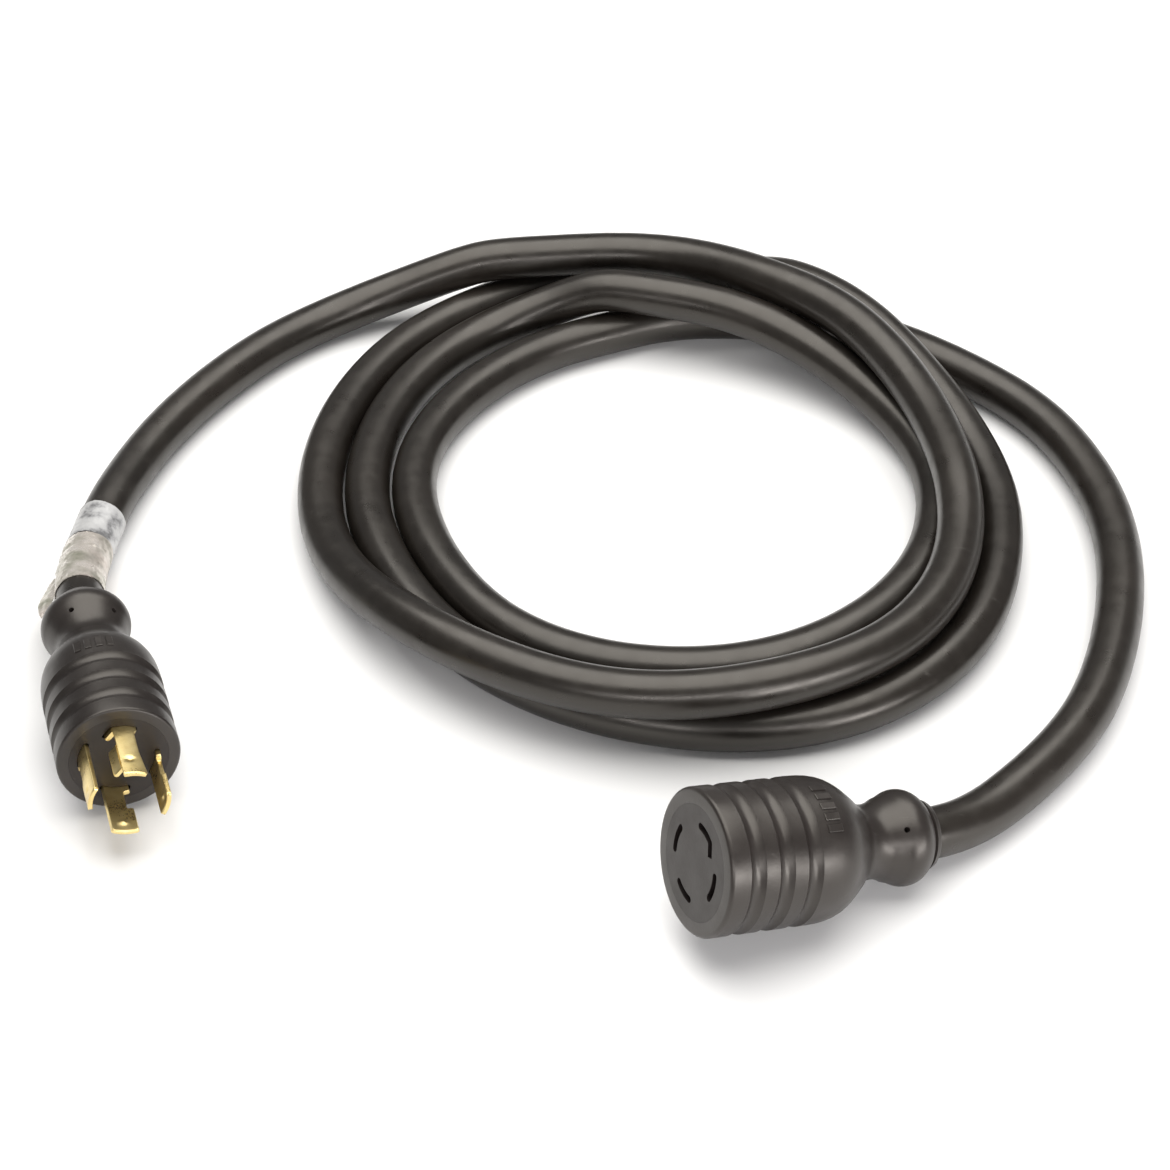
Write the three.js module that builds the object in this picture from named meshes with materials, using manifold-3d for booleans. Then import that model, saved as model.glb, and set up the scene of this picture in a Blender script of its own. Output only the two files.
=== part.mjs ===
// Locking four-pole shore power cord: a coiled round cable with a moulded
// twist-lock plug on one end and a moulded twist-lock connector on the other.
// Millimetres, +Z up. The origin is on the floor under the middle of the cord's
// outline.
import * as THREE from "three";
import { mergeVertices } from "three/addons/utils/BufferGeometryUtils.js";
import Module from "manifold-3d";

const wasm = await Module();
wasm.setup();

// ---------------------------------------------------------------- dimensions
const CABLE_R = 9.0; // jacket outside radius
const LUMEN_R = 6.7; // inside of the jacket wall
const CORE_PITCH_R = 3.45; // conductor centres about the cable axis
const CORE_R = 2.05; // insulated conductor
const COPPER_R = 1.5; // bundled copper strands
const BORE_R = 9.75; // cable bore in each overmould
const TWIST_GAP = 9.5; // the cable ends this far inside each bore

const PLUG_R = 21.6; // plug barrel over its ribs
const PLUG_CORE_R = 17.4;
const CONN_R = 25.0; // connector barrel over its ribs
const CONN_CORE_R = 19.6;
const KNOB_R = 16.6;
const NECK_R = 12.7;
const CHAMBER_END = 46; // depth of the wiring chamber behind each face
const BODY_LEN = 92; // face to the end of the cable sleeve
const VALLEY_AT = [10.1, 20.8, 31.5]; // grip valley centres behind the face
const VALLEY_HALF = 2.8;
const VALLEY_DEEP = 1.4;

const BLADE_CIRCLE_R = 13.4; // blade centres about the plug axis
const BLADE_T = 1.7;
const BLADE_W = 9.6;
const BLADE_OUT = 24.2; // blade length beyond the face
const NOTCH_Z = [2.6, 12.2]; // the locking notch, from the face
const NOTCH_DEPTH = 2.3;
const EARTH_W = 8.2; // straight part of the earth blade
const EARTH_OUT = 26.0; // the earth blade is longer, so it mates first
const FLANGE_L = 4.2; // folded edge of the earth blade
const FLANGE_FOLD = 42; // degrees, folded inwards
const FLANGE_Z = [9.5, 22.6];
const FLANGE_STUB = 1.8;
const SLOT_R = 13.6; // slot centres in the connector's face
const SLOT_T = 2.5;
const SLOT_W = { earth: 10.4, line_x: 11.4, neutral: 10.8, line_y: 11.4 };
const POCKET_T = 5.4; // behind the face the slots widen for the spring contacts
const BARREL_R = 3.2;
const BARREL_BORE = 1.9;
const BARREL_CIRCLE_R = 11.6;
const PLUG_EARTH_AT = 76.9; // degrees, earth blade about the plug axis
const CONN_EARTH_AT = 85.5;
// Poles about the axis from the earth pole, anticlockwise on the plug's face
// and clockwise on the connector's.
const POLE_OFFSETS = { earth: 0, line_x: -96, neutral: 180, line_y: 83 };

// Where each end sits: face centre and the way the face looks.
const PLUG_FACE = [-165.175, -128.615, 24.61];
const PLUG_AXIS = [0.28824, -0.95583, 0.05753];
const CONN_FACE = [32.175, -189.475, 35.17];
const CONN_AXIS = [-0.8952, -0.38067, 0.23176];

// Cable centre line, in stations. The coil winds three turns; the two tails
// carry on from it to the plug and to the connector.
const COIL = [
  [-164.655, 108.445, 9.0],
  [-147.065, 135.045, 9.0],
  [-125.485, 158.475, 9.06],
  [-98.705, 175.235, 12.11],
  [-69.155, 183.165, 21.03],
  [-38.445, 186.955, 28.24],
  [-6.495, 190.005, 27.5],
  [25.145, 187.575, 29.01],
  [53.695, 174.105, 32.39],
  [78.635, 154.465, 35.78],
  [102.585, 133.425, 35.48],
  [120.995, 107.675, 31.94],
  [133.195, 78.405, 28.71],
  [140.145, 47.295, 27.76],
  [141.965, 15.535, 25.97],
  [137.045, -15.875, 24.01],
  [124.595, -45.155, 24.18],
  [104.105, -69.435, 25.12],
  [77.465, -86.725, 27.01],
  [47.215, -96.575, 27.67],
  [15.465, -97.345, 26.59],
  [-15.075, -88.515, 25.43],
  [-42.835, -72.905, 24.39],
  [-67.045, -52.325, 22.08],
  [-86.725, -27.695, 17.01],
  [-100.805, 0.375, 11.3],
  [-108.655, 31.215, 9.03],
  [-109.795, 63.125, 9.0],
  [-104.625, 94.635, 9.0],
  [-93.655, 124.595, 9.0],
  [-76.485, 151.435, 9.0],
  [-53.185, 173.085, 9.0],
  [-27.335, 191.765, 9.0],
  [2.255, 203.165, 9.0],
  [33.625, 200.455, 9.8],
  [61.135, 186.505, 17.47],
  [86.445, 169.965, 28.08],
  [110.315, 148.655, 26.65],
  [129.745, 124.065, 20.43],
  [145.035, 96.685, 14.68],
  [155.545, 66.835, 11.02],
  [159.975, 35.355, 9.27],
  [157.075, 3.635, 9.0],
  [148.555, -27.075, 9.0],
  [133.055, -54.855, 9.0],
  [110.185, -76.935, 9.0],
  [81.665, -90.955, 9.0],
  [50.195, -95.535, 9.0],
  [18.605, -91.555, 9.0],
  [-11.215, -80.375, 9.0],
  [-37.685, -62.695, 9.0],
  [-59.455, -39.395, 9.0],
  [-75.265, -11.765, 9.0],
  [-86.295, 18.125, 9.0],
  [-90.815, 49.595, 9.0],
  [-87.895, 81.315, 9.0],
  [-78.565, 111.705, 9.0],
  [-62.375, 139.055, 9.02],
  [-38.155, 159.115, 11.71],
  [-8.915, 165.125, 23.17],
  [21.385, 159.085, 29.44],
  [52.205, 149.505, 26.88],
  [80.165, 134.865, 23.15],
  [104.885, 115.815, 16.98],
  [124.585, 91.435, 11.61],
  [135.755, 61.815, 9.22],
  [136.105, 30.075, 9.0],
  [127.735, -0.585, 9.0],
  [110.735, -27.465, 9.0],
  [86.775, -48.375, 9.0],
  [57.695, -61.215, 9.0],
  [26.065, -64.265, 9.0],
  [-4.985, -57.455, 9.0],
  [-32.125, -40.975, 9.0],
  [-51.575, -15.925, 9.0],
  [-64.715, 12.995, 9.0],
  [-71.315, 44.005, 9.0],
  [-68.875, 75.565, 9.0],
  [-56.155, 104.705, 9.0],
  [-36.075, 129.405, 9.0],
  [-10.245, 147.855, 9.0],
  [19.035, 160.715, 9.0],
  [49.815, 167.565, 9.07],
  [81.605, 164.845, 9.0],
  [112.585, 158.115, 9.0],
  [139.755, 141.505, 9.0],
  [163.535, 120.265, 9.0],
  [183.395, 95.375, 9.0],
  [196.255, 66.255, 9.0],
  [202.935, 35.105, 9.0],
  [203.505, 3.245, 9.0],
  [198.995, -28.325, 9.0],
  [190.575, -59.085, 9.0],
  [177.875, -88.315, 9.0],
];
const PLUG_TAIL_A = [
  [-186.495, 57.095, 9.17],
  [-182.255, 70.415, 9.0],
  [-177.175, 83.445, 9.0],
  [-171.285, 96.125, 9.0],
  [-164.655, 108.445, 9.0],
];
const PLUG_TAIL_B = [
  [-183.625, -67.445, 20.93],
  [-190.255, -45.455, 19.6],
  [-193.485, -32.025, 17.54],
  [-195.435, -18.455, 14.81],
  [-196.025, -4.735, 12.18],
  [-195.425, 9.085, 10.18],
  [-192.745, 29.845, 9.95],
  [-189.975, 43.555, 9.79],
  [-186.495, 57.095, 9.17],
];
const CONN_TAIL_A = [
  [177.875, -88.315, 9.0],
  [170.495, -100.185, 9.0],
  [162.115, -111.375, 9.0],
  [152.995, -121.975, 9.0],
  [143.315, -132.075, 9.0],
];
const CONN_TAIL_B = [
  [143.315, -132.075, 9.0],
  [133.015, -141.495, 9.68],
  [121.935, -149.735, 11.8],
  [110.065, -156.355, 15.01],
  [89.475, -165.115, 20.34],
];

// Flex points: the tail pieces turn about these.
const FLEX_PLUG_SWING = [-164.655, 108.445, 9.0];
const FLEX_PLUG_LIFT = [-186.495, 57.095, 9.17];
const FLEX_CONN_SWING = [177.875, -88.315, 9.0];
const FLEX_CONN_LIFT = [143.315, -132.075, 9.0];
const FLEX_DOME = 9.0; // rounded end on the fixed side of a flex point
const FLEX_CUP = 9.45; // hollow in the moving side
const FLEX_LIP = 5.6; // the moving side starts this far out

// ------------------------------------------------------------------- finishes
const mat = (color, roughness, metalness = 0) =>
  new THREE.MeshStandardMaterial({ color, roughness, metalness });
const RUBBER = mat(0x2e2c29, 0.55);
const MOULDED = mat(0x2b2a28, 0.5);
const HARD = mat(0x262523, 0.6);
const BRASS = mat(0xc9a94f, 0.3, 1);
const COPPER = mat(0xb8703c, 0.35, 1);
const PAPER = mat(0xe9e8e4, 0.6);
const FOIL = mat(0xb9b9bd, 0.25, 0.9);
const WIRE = {
  black: mat(0x1a1a1a, 0.5),
  red: mat(0xa3221c, 0.5),
  white: mat(0xe4e2dc, 0.5),
  green: mat(0x2b7a3a, 0.5),
};

// -------------------------------------------------------------------- helpers
const v3 = (p) => new THREE.Vector3(p[0], p[1], p[2]);

function toSolid(geometry) {
  let g = geometry.index ? geometry.toNonIndexed() : geometry.clone();
  g.deleteAttribute("normal");
  g.deleteAttribute("uv");
  g = mergeVertices(g, 1e-3);
  // drop triangles whose corners merged
  const src = g.index.array;
  const keep = [];
  for (let i = 0; i < src.length; i += 3) {
    const [a, b, c] = [src[i], src[i + 1], src[i + 2]];
    if (a !== b && b !== c && c !== a) keep.push(a, b, c);
  }
  const make = (tri) =>
    new wasm.Manifold(
      new wasm.Mesh({
        numProp: 3,
        vertProperties: new Float32Array(g.attributes.position.array),
        triVerts: new Uint32Array(tri),
      }),
    );
  let s = make(keep);
  if (s.volume() < 0) {
    for (let i = 0; i < keep.length; i += 3)
      [keep[i + 1], keep[i + 2]] = [keep[i + 2], keep[i + 1]];
    s = make(keep);
  }
  return s;
}

function toGeometry(solid) {
  const m = solid.getMesh();
  const n = m.numProp;
  const pos = new Float32Array(m.numVert * 3);
  for (let i = 0; i < m.numVert; i++)
    pos.set(m.vertProperties.subarray(i * n, i * n + 3), i * 3);
  const g = new THREE.BufferGeometry()
    .setAttribute("position", new THREE.BufferAttribute(pos, 3))
    .setIndex(new THREE.BufferAttribute(new Uint32Array(m.triVerts), 1));
  g.computeVertexNormals();
  return g;
}

const regular = (n, r, turn = 0) =>
  Array.from({ length: n }, (_, i) => {
    const a = turn + (i / n) * 2 * Math.PI;
    return new THREE.Vector2(r * Math.cos(a), r * Math.sin(a));
  });

// A path through fixed stations; offsets are given per station in the
// path's own cross-section frame, so nested sections share their planes.
class Stations extends THREE.Curve {
  constructor(points, offset = null) {
    super();
    this.base = points.map(v3);
    this.count = points.length - 1;
    this.offset = offset;
    if (offset) {
      const frames = new Stations(points).computeFrenetFrames(this.count);
      this.pts = this.base.map((p, i) => {
        const o = offset(i);
        return p
          .clone()
          .addScaledVector(frames.normals[i], o.x)
          .addScaledVector(frames.binormals[i], o.y);
      });
    } else this.pts = this.base;
  }
  getPoint(t) {
    return this.pts[Math.round(t * this.count)].clone();
  }
  getPointAt(t) {
    return this.getPoint(t);
  }
  getTangent(t) {
    const i = Math.round(t * this.count);
    const d = new THREE.Vector3();
    if (i > 0)
      d.add(this.base[i].clone().sub(this.base[i - 1]).normalize());
    if (i < this.count)
      d.add(this.base[i + 1].clone().sub(this.base[i]).normalize());
    return d.normalize();
  }
  getTangentAt(t) {
    return this.getTangent(t);
  }
}

function sweep(points, outline, hole = null, offset = null) {
  const shape = new THREE.Shape(outline);
  if (hole) shape.holes.push(new THREE.Path(hole));
  return new THREE.ExtrudeGeometry(shape, {
    steps: points.length - 1,
    curveSegments: 1,
    bevelEnabled: false,
    extrudePath: new Stations(points, offset),
  });
}

// Turned profile of [radius, depth behind the face] pairs about the Z axis.
function turned(profile, segments, phase = 0) {
  const g = new THREE.LatheGeometry(
    profile.map(([r, d]) => new THREE.Vector2(r, -d)),
    segments,
    phase,
  );
  g.rotateX(Math.PI / 2);
  return g;
}

function prism(outline, z0, z1, holes = []) {
  const shape = new THREE.Shape(outline);
  holes.forEach((h) => shape.holes.push(new THREE.Path(h)));
  const g = new THREE.ExtrudeGeometry(shape, {
    depth: z1 - z0,
    bevelEnabled: false,
    curveSegments: 1,
  });
  g.translate(0, 0, z0);
  return g;
}

// Curved-bar outline: an arc of a ring, centred on angle a0.
function arcBar(radius, thickness, u0, u1, a0, steps = 3) {
  const out = [];
  const at = (u, r) => {
    const a = a0 + u / radius;
    return new THREE.Vector2(r * Math.cos(a), r * Math.sin(a));
  };
  for (let i = 0; i <= steps; i++)
    out.push(at(u0 + ((u1 - u0) * i) / steps, radius + thickness / 2));
  for (let i = steps; i >= 0; i--)
    out.push(at(u0 + ((u1 - u0) * i) / steps, radius - thickness / 2));
  return out;
}

const root = new THREE.Group();
function add(parent, name, geometry, material) {
  const m = new THREE.Mesh(geometry, material);
  m.name = name;
  parent.add(m);
  return m;
}

// Frame of an end body: Z looks out of the face, Y is up as near as it can be.
function seat(face, axis) {
  const z = v3(axis).normalize();
  const x = new THREE.Vector3(0, 0, 1).cross(z).normalize();
  const y = z.clone().cross(x);
  const m = new THREE.Matrix4().makeBasis(x, y, z).setPosition(...face);
  const g = new THREE.Group();
  m.decompose(g.position, g.quaternion, g.scale);
  root.add(g);
  return g;
}

// ---------------------------------------------------------------------- cable
const WIRES = ["black", "red", "white", "green"];
const LAY = Math.PI / 9; // the conductors turn slowly about each other
const layOffset = (k) => (i) => {
  const a = (k * Math.PI) / 2 + Math.PI / 4 + i * LAY;
  return new THREE.Vector2(
    CORE_PITCH_R * Math.cos(a),
    CORE_PITCH_R * Math.sin(a),
  );
};
const straightOffset = (k) => () => {
  const a = (k * Math.PI) / 2 + Math.PI / 4;
  return new THREE.Vector2(
    CORE_PITCH_R * Math.cos(a),
    CORE_PITCH_R * Math.sin(a),
  );
};

// Turns the +Z axis onto a direction and moves the origin to a point.
function place(geometry, point, direction) {
  const q = new THREE.Quaternion().setFromUnitVectors(
    new THREE.Vector3(0, 0, 1),
    direction.clone().normalize(),
  );
  geometry.applyQuaternion(q);
  geometry.translate(...point);
  return geometry;
}

// Cutter that leaves a rounded end on the fixed side of a flex point.
function domeCutter(point, outward) {
  const p = [[26, 0], [FLEX_DOME + 0.02, 0]];
  for (const a of [15, 30, 45])
    p.push([
      FLEX_DOME * Math.cos((a * Math.PI) / 180),
      -FLEX_DOME * Math.sin((a * Math.PI) / 180),
    ]);
  p.push([0, -FLEX_DOME * Math.sin(Math.PI / 4)], [0, -26], [26, -26]);
  p.push([26, 0]);
  return toSolid(place(turned(p, 16), point, outward));
}

function cupCutter(point, outward) {
  const p = [[0, 26], [26, 26], [26, -FLEX_LIP]];
  const a0 = Math.asin(FLEX_LIP / FLEX_CUP);
  for (let i = 0; i <= 3; i++) {
    const a = a0 + ((Math.PI / 2 - a0) * i) / 3;
    p.push([FLEX_CUP * Math.cos(a) * (i < 3 ? 1 : 0), -FLEX_CUP * Math.sin(a)]);
  }
  return toSolid(place(turned(p, 16), point, outward));
}

const dir = (a, b) => v3(b).sub(v3(a)).normalize();

// A run of cable. ends: [flex kind at the start, flex kind at the end], where a
// "dome" end is carried on past its last station and then rounded.
function cable(suffix, stations, ends, sides, lumenSides, offsetOf, coreSides) {
  const st = stations.map((p) => p.slice());
  const n = st.length - 1;
  const d0 = dir(st[1], st[0]);
  const d1 = dir(st[n - 1], st[n]);
  let jacket;
  const long = st.map((p) => p.slice());
  if (ends[0] === "dome") long[0] = v3(st[0]).addScaledVector(d0, 8).toArray();
  if (ends[1] === "dome") long[n] = v3(st[n]).addScaledVector(d1, 8).toArray();
  jacket = toSolid(
    sweep(long, regular(sides, CABLE_R), regular(lumenSides, LUMEN_R)),
  );
  if (ends[0] === "dome") jacket = jacket.subtract(domeCutter(st[0], d0));
  if (ends[1] === "dome") jacket = jacket.subtract(domeCutter(st[n], d1));
  if (ends[0] === "cup")
    jacket = jacket.subtract(cupCutter(st[0], d0.clone().negate()));
  if (ends[1] === "cup")
    jacket = jacket.subtract(cupCutter(st[n], d1.clone().negate()));
  add(root, "cable_jacket_" + suffix, toGeometry(jacket), RUBBER);
  // conductors stop inside the dome, and start clear of the cup
  const inner = st.map((p) => p.slice());
  const trim = { dome: -1.5, cup: 11, bore: 0.6 };
  inner[0] = v3(st[0]).addScaledVector(d0, -trim[ends[0]]).toArray();
  inner[n] = v3(st[n]).addScaledVector(d1, -trim[ends[1]]).toArray();
  if (ends[0] === "dome")
    inner[0] = v3(st[0]).addScaledVector(d0, -1.5).toArray();
  if (ends[1] === "dome")
    inner[n] = v3(st[n]).addScaledVector(d1, -1.5).toArray();
  WIRES.forEach((w, k) =>
    add(
      root,
      "conductor_" + w + "_" + suffix,
      sweep(inner, regular(coreSides, CORE_R), null, offsetOf(k)),
      WIRE[w],
    ),
  );
}

cable("coil", COIL, ["dome", "dome"], 10, 6, layOffset, 4);
cable("plug_tail_a", PLUG_TAIL_A, ["dome", "cup"], 12, 8, straightOffset, 6);
cable("plug_tail_b", PLUG_TAIL_B, ["bore", "cup"], 12, 8, straightOffset, 6);
cable("conn_tail_a", CONN_TAIL_A, ["cup", "dome"], 12, 8, straightOffset, 6);
cable("conn_tail_b", CONN_TAIL_B, ["cup", "bore"], 12, 8, straightOffset, 6);

// --------------------------------------------------------------------- labels
// Two wrap labels on the plug tail, on the same station planes as the jacket.
const LABEL_IN = 9.42;
const LABEL_OUT = 9.85;
const between = (a, b, t) =>
  v3(PLUG_TAIL_B[a]).lerp(v3(PLUG_TAIL_B[b]), t).toArray();
{
  const foil = [
    between(2, 3, 0.45),
    PLUG_TAIL_B[3],
    PLUG_TAIL_B[4],
    between(4, 5, 0.92),
  ];
  const white = [
    between(4, 5, 0.96),
    PLUG_TAIL_B[5],
    between(5, 6, 0.95),
  ];
  const sleeve = (pts) =>
    toSolid(sweep(pts, regular(12, LABEL_OUT), regular(12, LABEL_IN)));
  // flag of folded foil, standing off the left side of the cable
  const at = v3(PLUG_TAIL_B[3]);
  const along = dir(PLUG_TAIL_B[4], PLUG_TAIL_B[2]); // towards the plug
  const out = along.clone().cross(new THREE.Vector3(0, 0, 1)).normalize();
  const face = out.clone().cross(along);
  const flag = prism(
    [
      new THREE.Vector2(-9, 9.55),
      new THREE.Vector2(6, 9.55),
      new THREE.Vector2(17.5, 14.5),
      new THREE.Vector2(21, 17.4),
      new THREE.Vector2(12, 18.2),
      new THREE.Vector2(1, 15.2),
      new THREE.Vector2(-7.5, 13.2),
    ],
    -0.3,
    0.3,
  );
  flag.applyMatrix4(
    new THREE.Matrix4().makeBasis(along, out, face.negate()).setPosition(at),
  );
  add(root, "label_foil", toGeometry(sleeve(foil).add(toSolid(flag))), FOIL);
  add(root, "label_white", toGeometry(sleeve(white)), PAPER);
}

// ------------------------------------------------------------------ end bodies
const SEG = 20;

// Ribbed barrel, collar, neck and knob in one moulding, hollow for the core,
// the wiring chamber and the cable bore.
function overmould(R, coreR) {
  const p = [[coreR + 0.3, 0], [R - 0.9, 0], [R, 1.2]];
  for (const c of VALLEY_AT) {
    const side = R - 0.7 * VALLEY_DEEP;
    p.push(
      [R, c - VALLEY_HALF], [side, c - 1.3], [R - VALLEY_DEEP, c],
      [side, c + 1.3], [R, c + VALLEY_HALF],
    );
  }
  p.push(
    [R - 0.25, 37.6], [R - 0.5, 45.5], [R - 2.0, 50.5], [R - 5.6, 55],
    [NECK_R + 1.4, 60], [NECK_R, 65], [NECK_R + 0.4, 68.5],
    [NECK_R + 2.4, 72], [KNOB_R, 76.8], [KNOB_R, 80.6],
    [KNOB_R - 1.9, 84.6], [12.6, 87.6], [11.9, BODY_LEN],
    [BORE_R, BODY_LEN], [BORE_R, 62], [coreR + 0.3, CHAMBER_END],
    [coreR + 0.3, 0],
  );
  return toGeometry(toSolid(turned(p, SEG)));
}

const ring = (x, y, r, n = 10) =>
  regular(n, r).map((p) => new THREE.Vector2(p.x + x, p.y + y));

// Angle of each pole about the axis. sense is 1 on the plug and -1 on the
// connector, whose face is the mirror image.
const poles = (earthAt, sense) =>
  Object.fromEntries(
    Object.entries(POLE_OFFSETS).map(([name, off]) => [
      name,
      ((earthAt + sense * off) * Math.PI) / 180,
    ]),
  );

// Outline of the earth blade's folded edge: it leaves the bar's end u = end and
// turns inwards. extra widens and lengthens it, for the slots.
function flangeOutline(a, sense, end, extra = 0, radius = BLADE_CIRCLE_R) {
  const e = a + (sense * end) / radius;
  const c = new THREE.Vector2(radius * Math.cos(e), radius * Math.sin(e));
  const turn = sense * (Math.PI / 2 + (FLANGE_FOLD * Math.PI) / 180);
  const d = new THREE.Vector2(Math.cos(e + turn), Math.sin(e + turn));
  const n = new THREE.Vector2(-d.y, d.x).multiplyScalar(BLADE_T / 2 + extra);
  const p0 = c.clone().addScaledVector(d, -0.5);
  const p1 = c.clone().addScaledVector(d, FLANGE_L + extra);
  return [
    p0.clone().sub(n),
    p1.clone().sub(n),
    p1.clone().add(n),
    p0.clone().add(n),
  ];
}

// Hard block that holds the four contacts: through slots at the front, round
// pockets for the crimp barrels behind.
function coreBlock(R, at, sense, widths, slotT, slotR, pocketT = 0) {
  let s = toSolid(turned([[0, 0], [R, 0], [R, 34], [0, 34]], SEG));
  const cut = (outline, z0, z1) => {
    s = s.subtract(toSolid(prism(outline, z0, z1)));
  };
  for (const [name, a] of Object.entries(at)) {
    const hw = widths[name] / 2;
    cut(arcBar(slotR, slotT, -hw, hw, a, 3), -12.6, 1);
    if (name === "earth")
      cut(flangeOutline(a, sense, EARTH_W / 2, 0.4), -12.6, 1);
    if (pocketT) cut(arcBar(slotR, pocketT, -hw, hw, a, 3), -12.6, -3);
    cut(
      ring(
        BARREL_CIRCLE_R * Math.cos(a),
        BARREL_CIRCLE_R * Math.sin(a),
        BARREL_R + 0.5,
      ),
      -35,
      -9.4,
    );
  }
  return toGeometry(s);
}

// Crimp barrel behind a blade or contact.
const barrel = (a) => {
  const x = BARREL_CIRCLE_R * Math.cos(a);
  const y = BARREL_CIRCLE_R * Math.sin(a);
  return toSolid(
    prism(ring(x, y, BARREL_R, 8), -32, -10, [ring(x, y, BARREL_BORE, 6)]),
  );
};

// Locking blade: a curved bar, notched on the side it turns to, so its head
// locks behind the receptacle's face, with a crimp barrel at its root. The
// earth blade is a narrower bar with one edge folded inwards.
function blade(a, kind) {
  const h = (kind === "earth" ? EARTH_W : BLADE_W) / 2;
  const bar = (u0, u1, z0, z1) =>
    toSolid(prism(arcBar(BLADE_CIRCLE_R, BLADE_T, u0, u1, a, 3), z0, z1));
  let s;
  if (kind === "earth") {
    const fold = flangeOutline(a, 1, h);
    s = bar(-h, h, -11.5, EARTH_OUT)
      .add(toSolid(prism(fold, -6, FLANGE_STUB)))
      .add(toSolid(prism(fold, FLANGE_Z[0], FLANGE_Z[1])));
  } else {
    s = bar(-h, h, -11.5, NOTCH_Z[0])
      .add(bar(-h, h - NOTCH_DEPTH, NOTCH_Z[0] - 0.2, NOTCH_Z[1] + 0.2))
      .add(bar(-h, h, NOTCH_Z[1], BLADE_OUT));
  }
  return toGeometry(s.add(barrel(a)));
}

// Spring contact: two leaves either side of the blade slot, joined at the root.
function contact(a) {
  const h = BLADE_W / 2 - 1.2;
  const leaf = (r) => toSolid(prism(arcBar(r, 0.8, -h, h, a, 3), -11.6, -3.6));
  const s = leaf(SLOT_R + 1.5)
    .add(leaf(SLOT_R - 1.5))
    .add(toSolid(prism(arcBar(SLOT_R, 3.8, -h, h, a, 3), -12.2, -10.8)))
    .add(barrel(a));
  return toGeometry(s);
}

// Insulated lead from the cable end to its barrel, and its stripped copper.
function leads(group, prefix, at) {
  const goesTo = {
    green: "earth",
    black: "line_x",
    white: "neutral",
    red: "line_y",
  };
  for (const w of WIRES) {
    const a = at[goesTo[w]];
    const p = (r, d) => [r * Math.cos(a), r * Math.sin(a), -d];
    add(
      group,
      prefix + "_lead_" + w,
      sweep(
        [p(3.6, 62.6), p(3.6, 58), p(8.2, 47), p(BARREL_CIRCLE_R, 40), p(BARREL_CIRCLE_R, 33)],
        regular(6, CORE_R),
      ),
      WIRE[w],
    );
    add(
      group,
      prefix + "_copper_" + w,
      prism(
        ring(BARREL_CIRCLE_R * Math.cos(a), BARREL_CIRCLE_R * Math.sin(a), COPPER_R, 6),
        -32.6,
        -15,
      ),
      COPPER,
    );
  }
}

const plug = seat(PLUG_FACE, PLUG_AXIS);
const plugPoles = poles(PLUG_EARTH_AT, 1);
const bladeWidths = Object.fromEntries(
  Object.keys(POLE_OFFSETS).map((name) => [
    name,
    (name === "earth" ? EARTH_W : BLADE_W) + 0.8,
  ]),
);
add(plug, "plug_overmould", overmould(PLUG_R, PLUG_CORE_R), MOULDED);
add(
  plug,
  "plug_core",
  coreBlock(PLUG_CORE_R, plugPoles, 1, bladeWidths, BLADE_T + 0.7, BLADE_CIRCLE_R),
  HARD,
);
for (const [name, a] of Object.entries(plugPoles))
  add(plug, "blade_" + name, blade(a, name), BRASS);
leads(plug, "plug", plugPoles);

const conn = seat(CONN_FACE, CONN_AXIS);
const connPoles = poles(CONN_EARTH_AT, -1);
add(conn, "connector_overmould", overmould(CONN_R, CONN_CORE_R), MOULDED);
add(
  conn,
  "connector_core",
  coreBlock(CONN_CORE_R, connPoles, -1, SLOT_W, SLOT_T, SLOT_R, POCKET_T),
  HARD,
);
for (const [name, a] of Object.entries(connPoles))
  add(conn, "contact_" + name, contact(a), BRASS);
leads(conn, "connector", connPoles);

export default root;
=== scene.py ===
"""Looks of a coiled shore power cord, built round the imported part. Metres, +Z up."""

import math

import bpy
import bmesh
import numpy as np
from mathutils import Matrix, Vector, noise


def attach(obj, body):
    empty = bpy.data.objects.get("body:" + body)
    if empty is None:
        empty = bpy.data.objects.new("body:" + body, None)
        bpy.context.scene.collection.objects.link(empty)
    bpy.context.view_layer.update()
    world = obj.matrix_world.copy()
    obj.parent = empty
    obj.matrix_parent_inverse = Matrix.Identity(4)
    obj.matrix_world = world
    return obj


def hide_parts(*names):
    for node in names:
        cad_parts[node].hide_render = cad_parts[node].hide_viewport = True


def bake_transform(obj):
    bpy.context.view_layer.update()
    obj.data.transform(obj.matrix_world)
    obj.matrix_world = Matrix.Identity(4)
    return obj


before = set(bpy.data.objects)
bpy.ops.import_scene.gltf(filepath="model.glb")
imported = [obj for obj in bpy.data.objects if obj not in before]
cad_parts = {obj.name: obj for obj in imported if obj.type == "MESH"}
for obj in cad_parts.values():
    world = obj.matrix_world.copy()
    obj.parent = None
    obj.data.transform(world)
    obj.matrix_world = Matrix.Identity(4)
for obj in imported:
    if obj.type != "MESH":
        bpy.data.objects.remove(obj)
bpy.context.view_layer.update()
MM = 0.001

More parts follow.
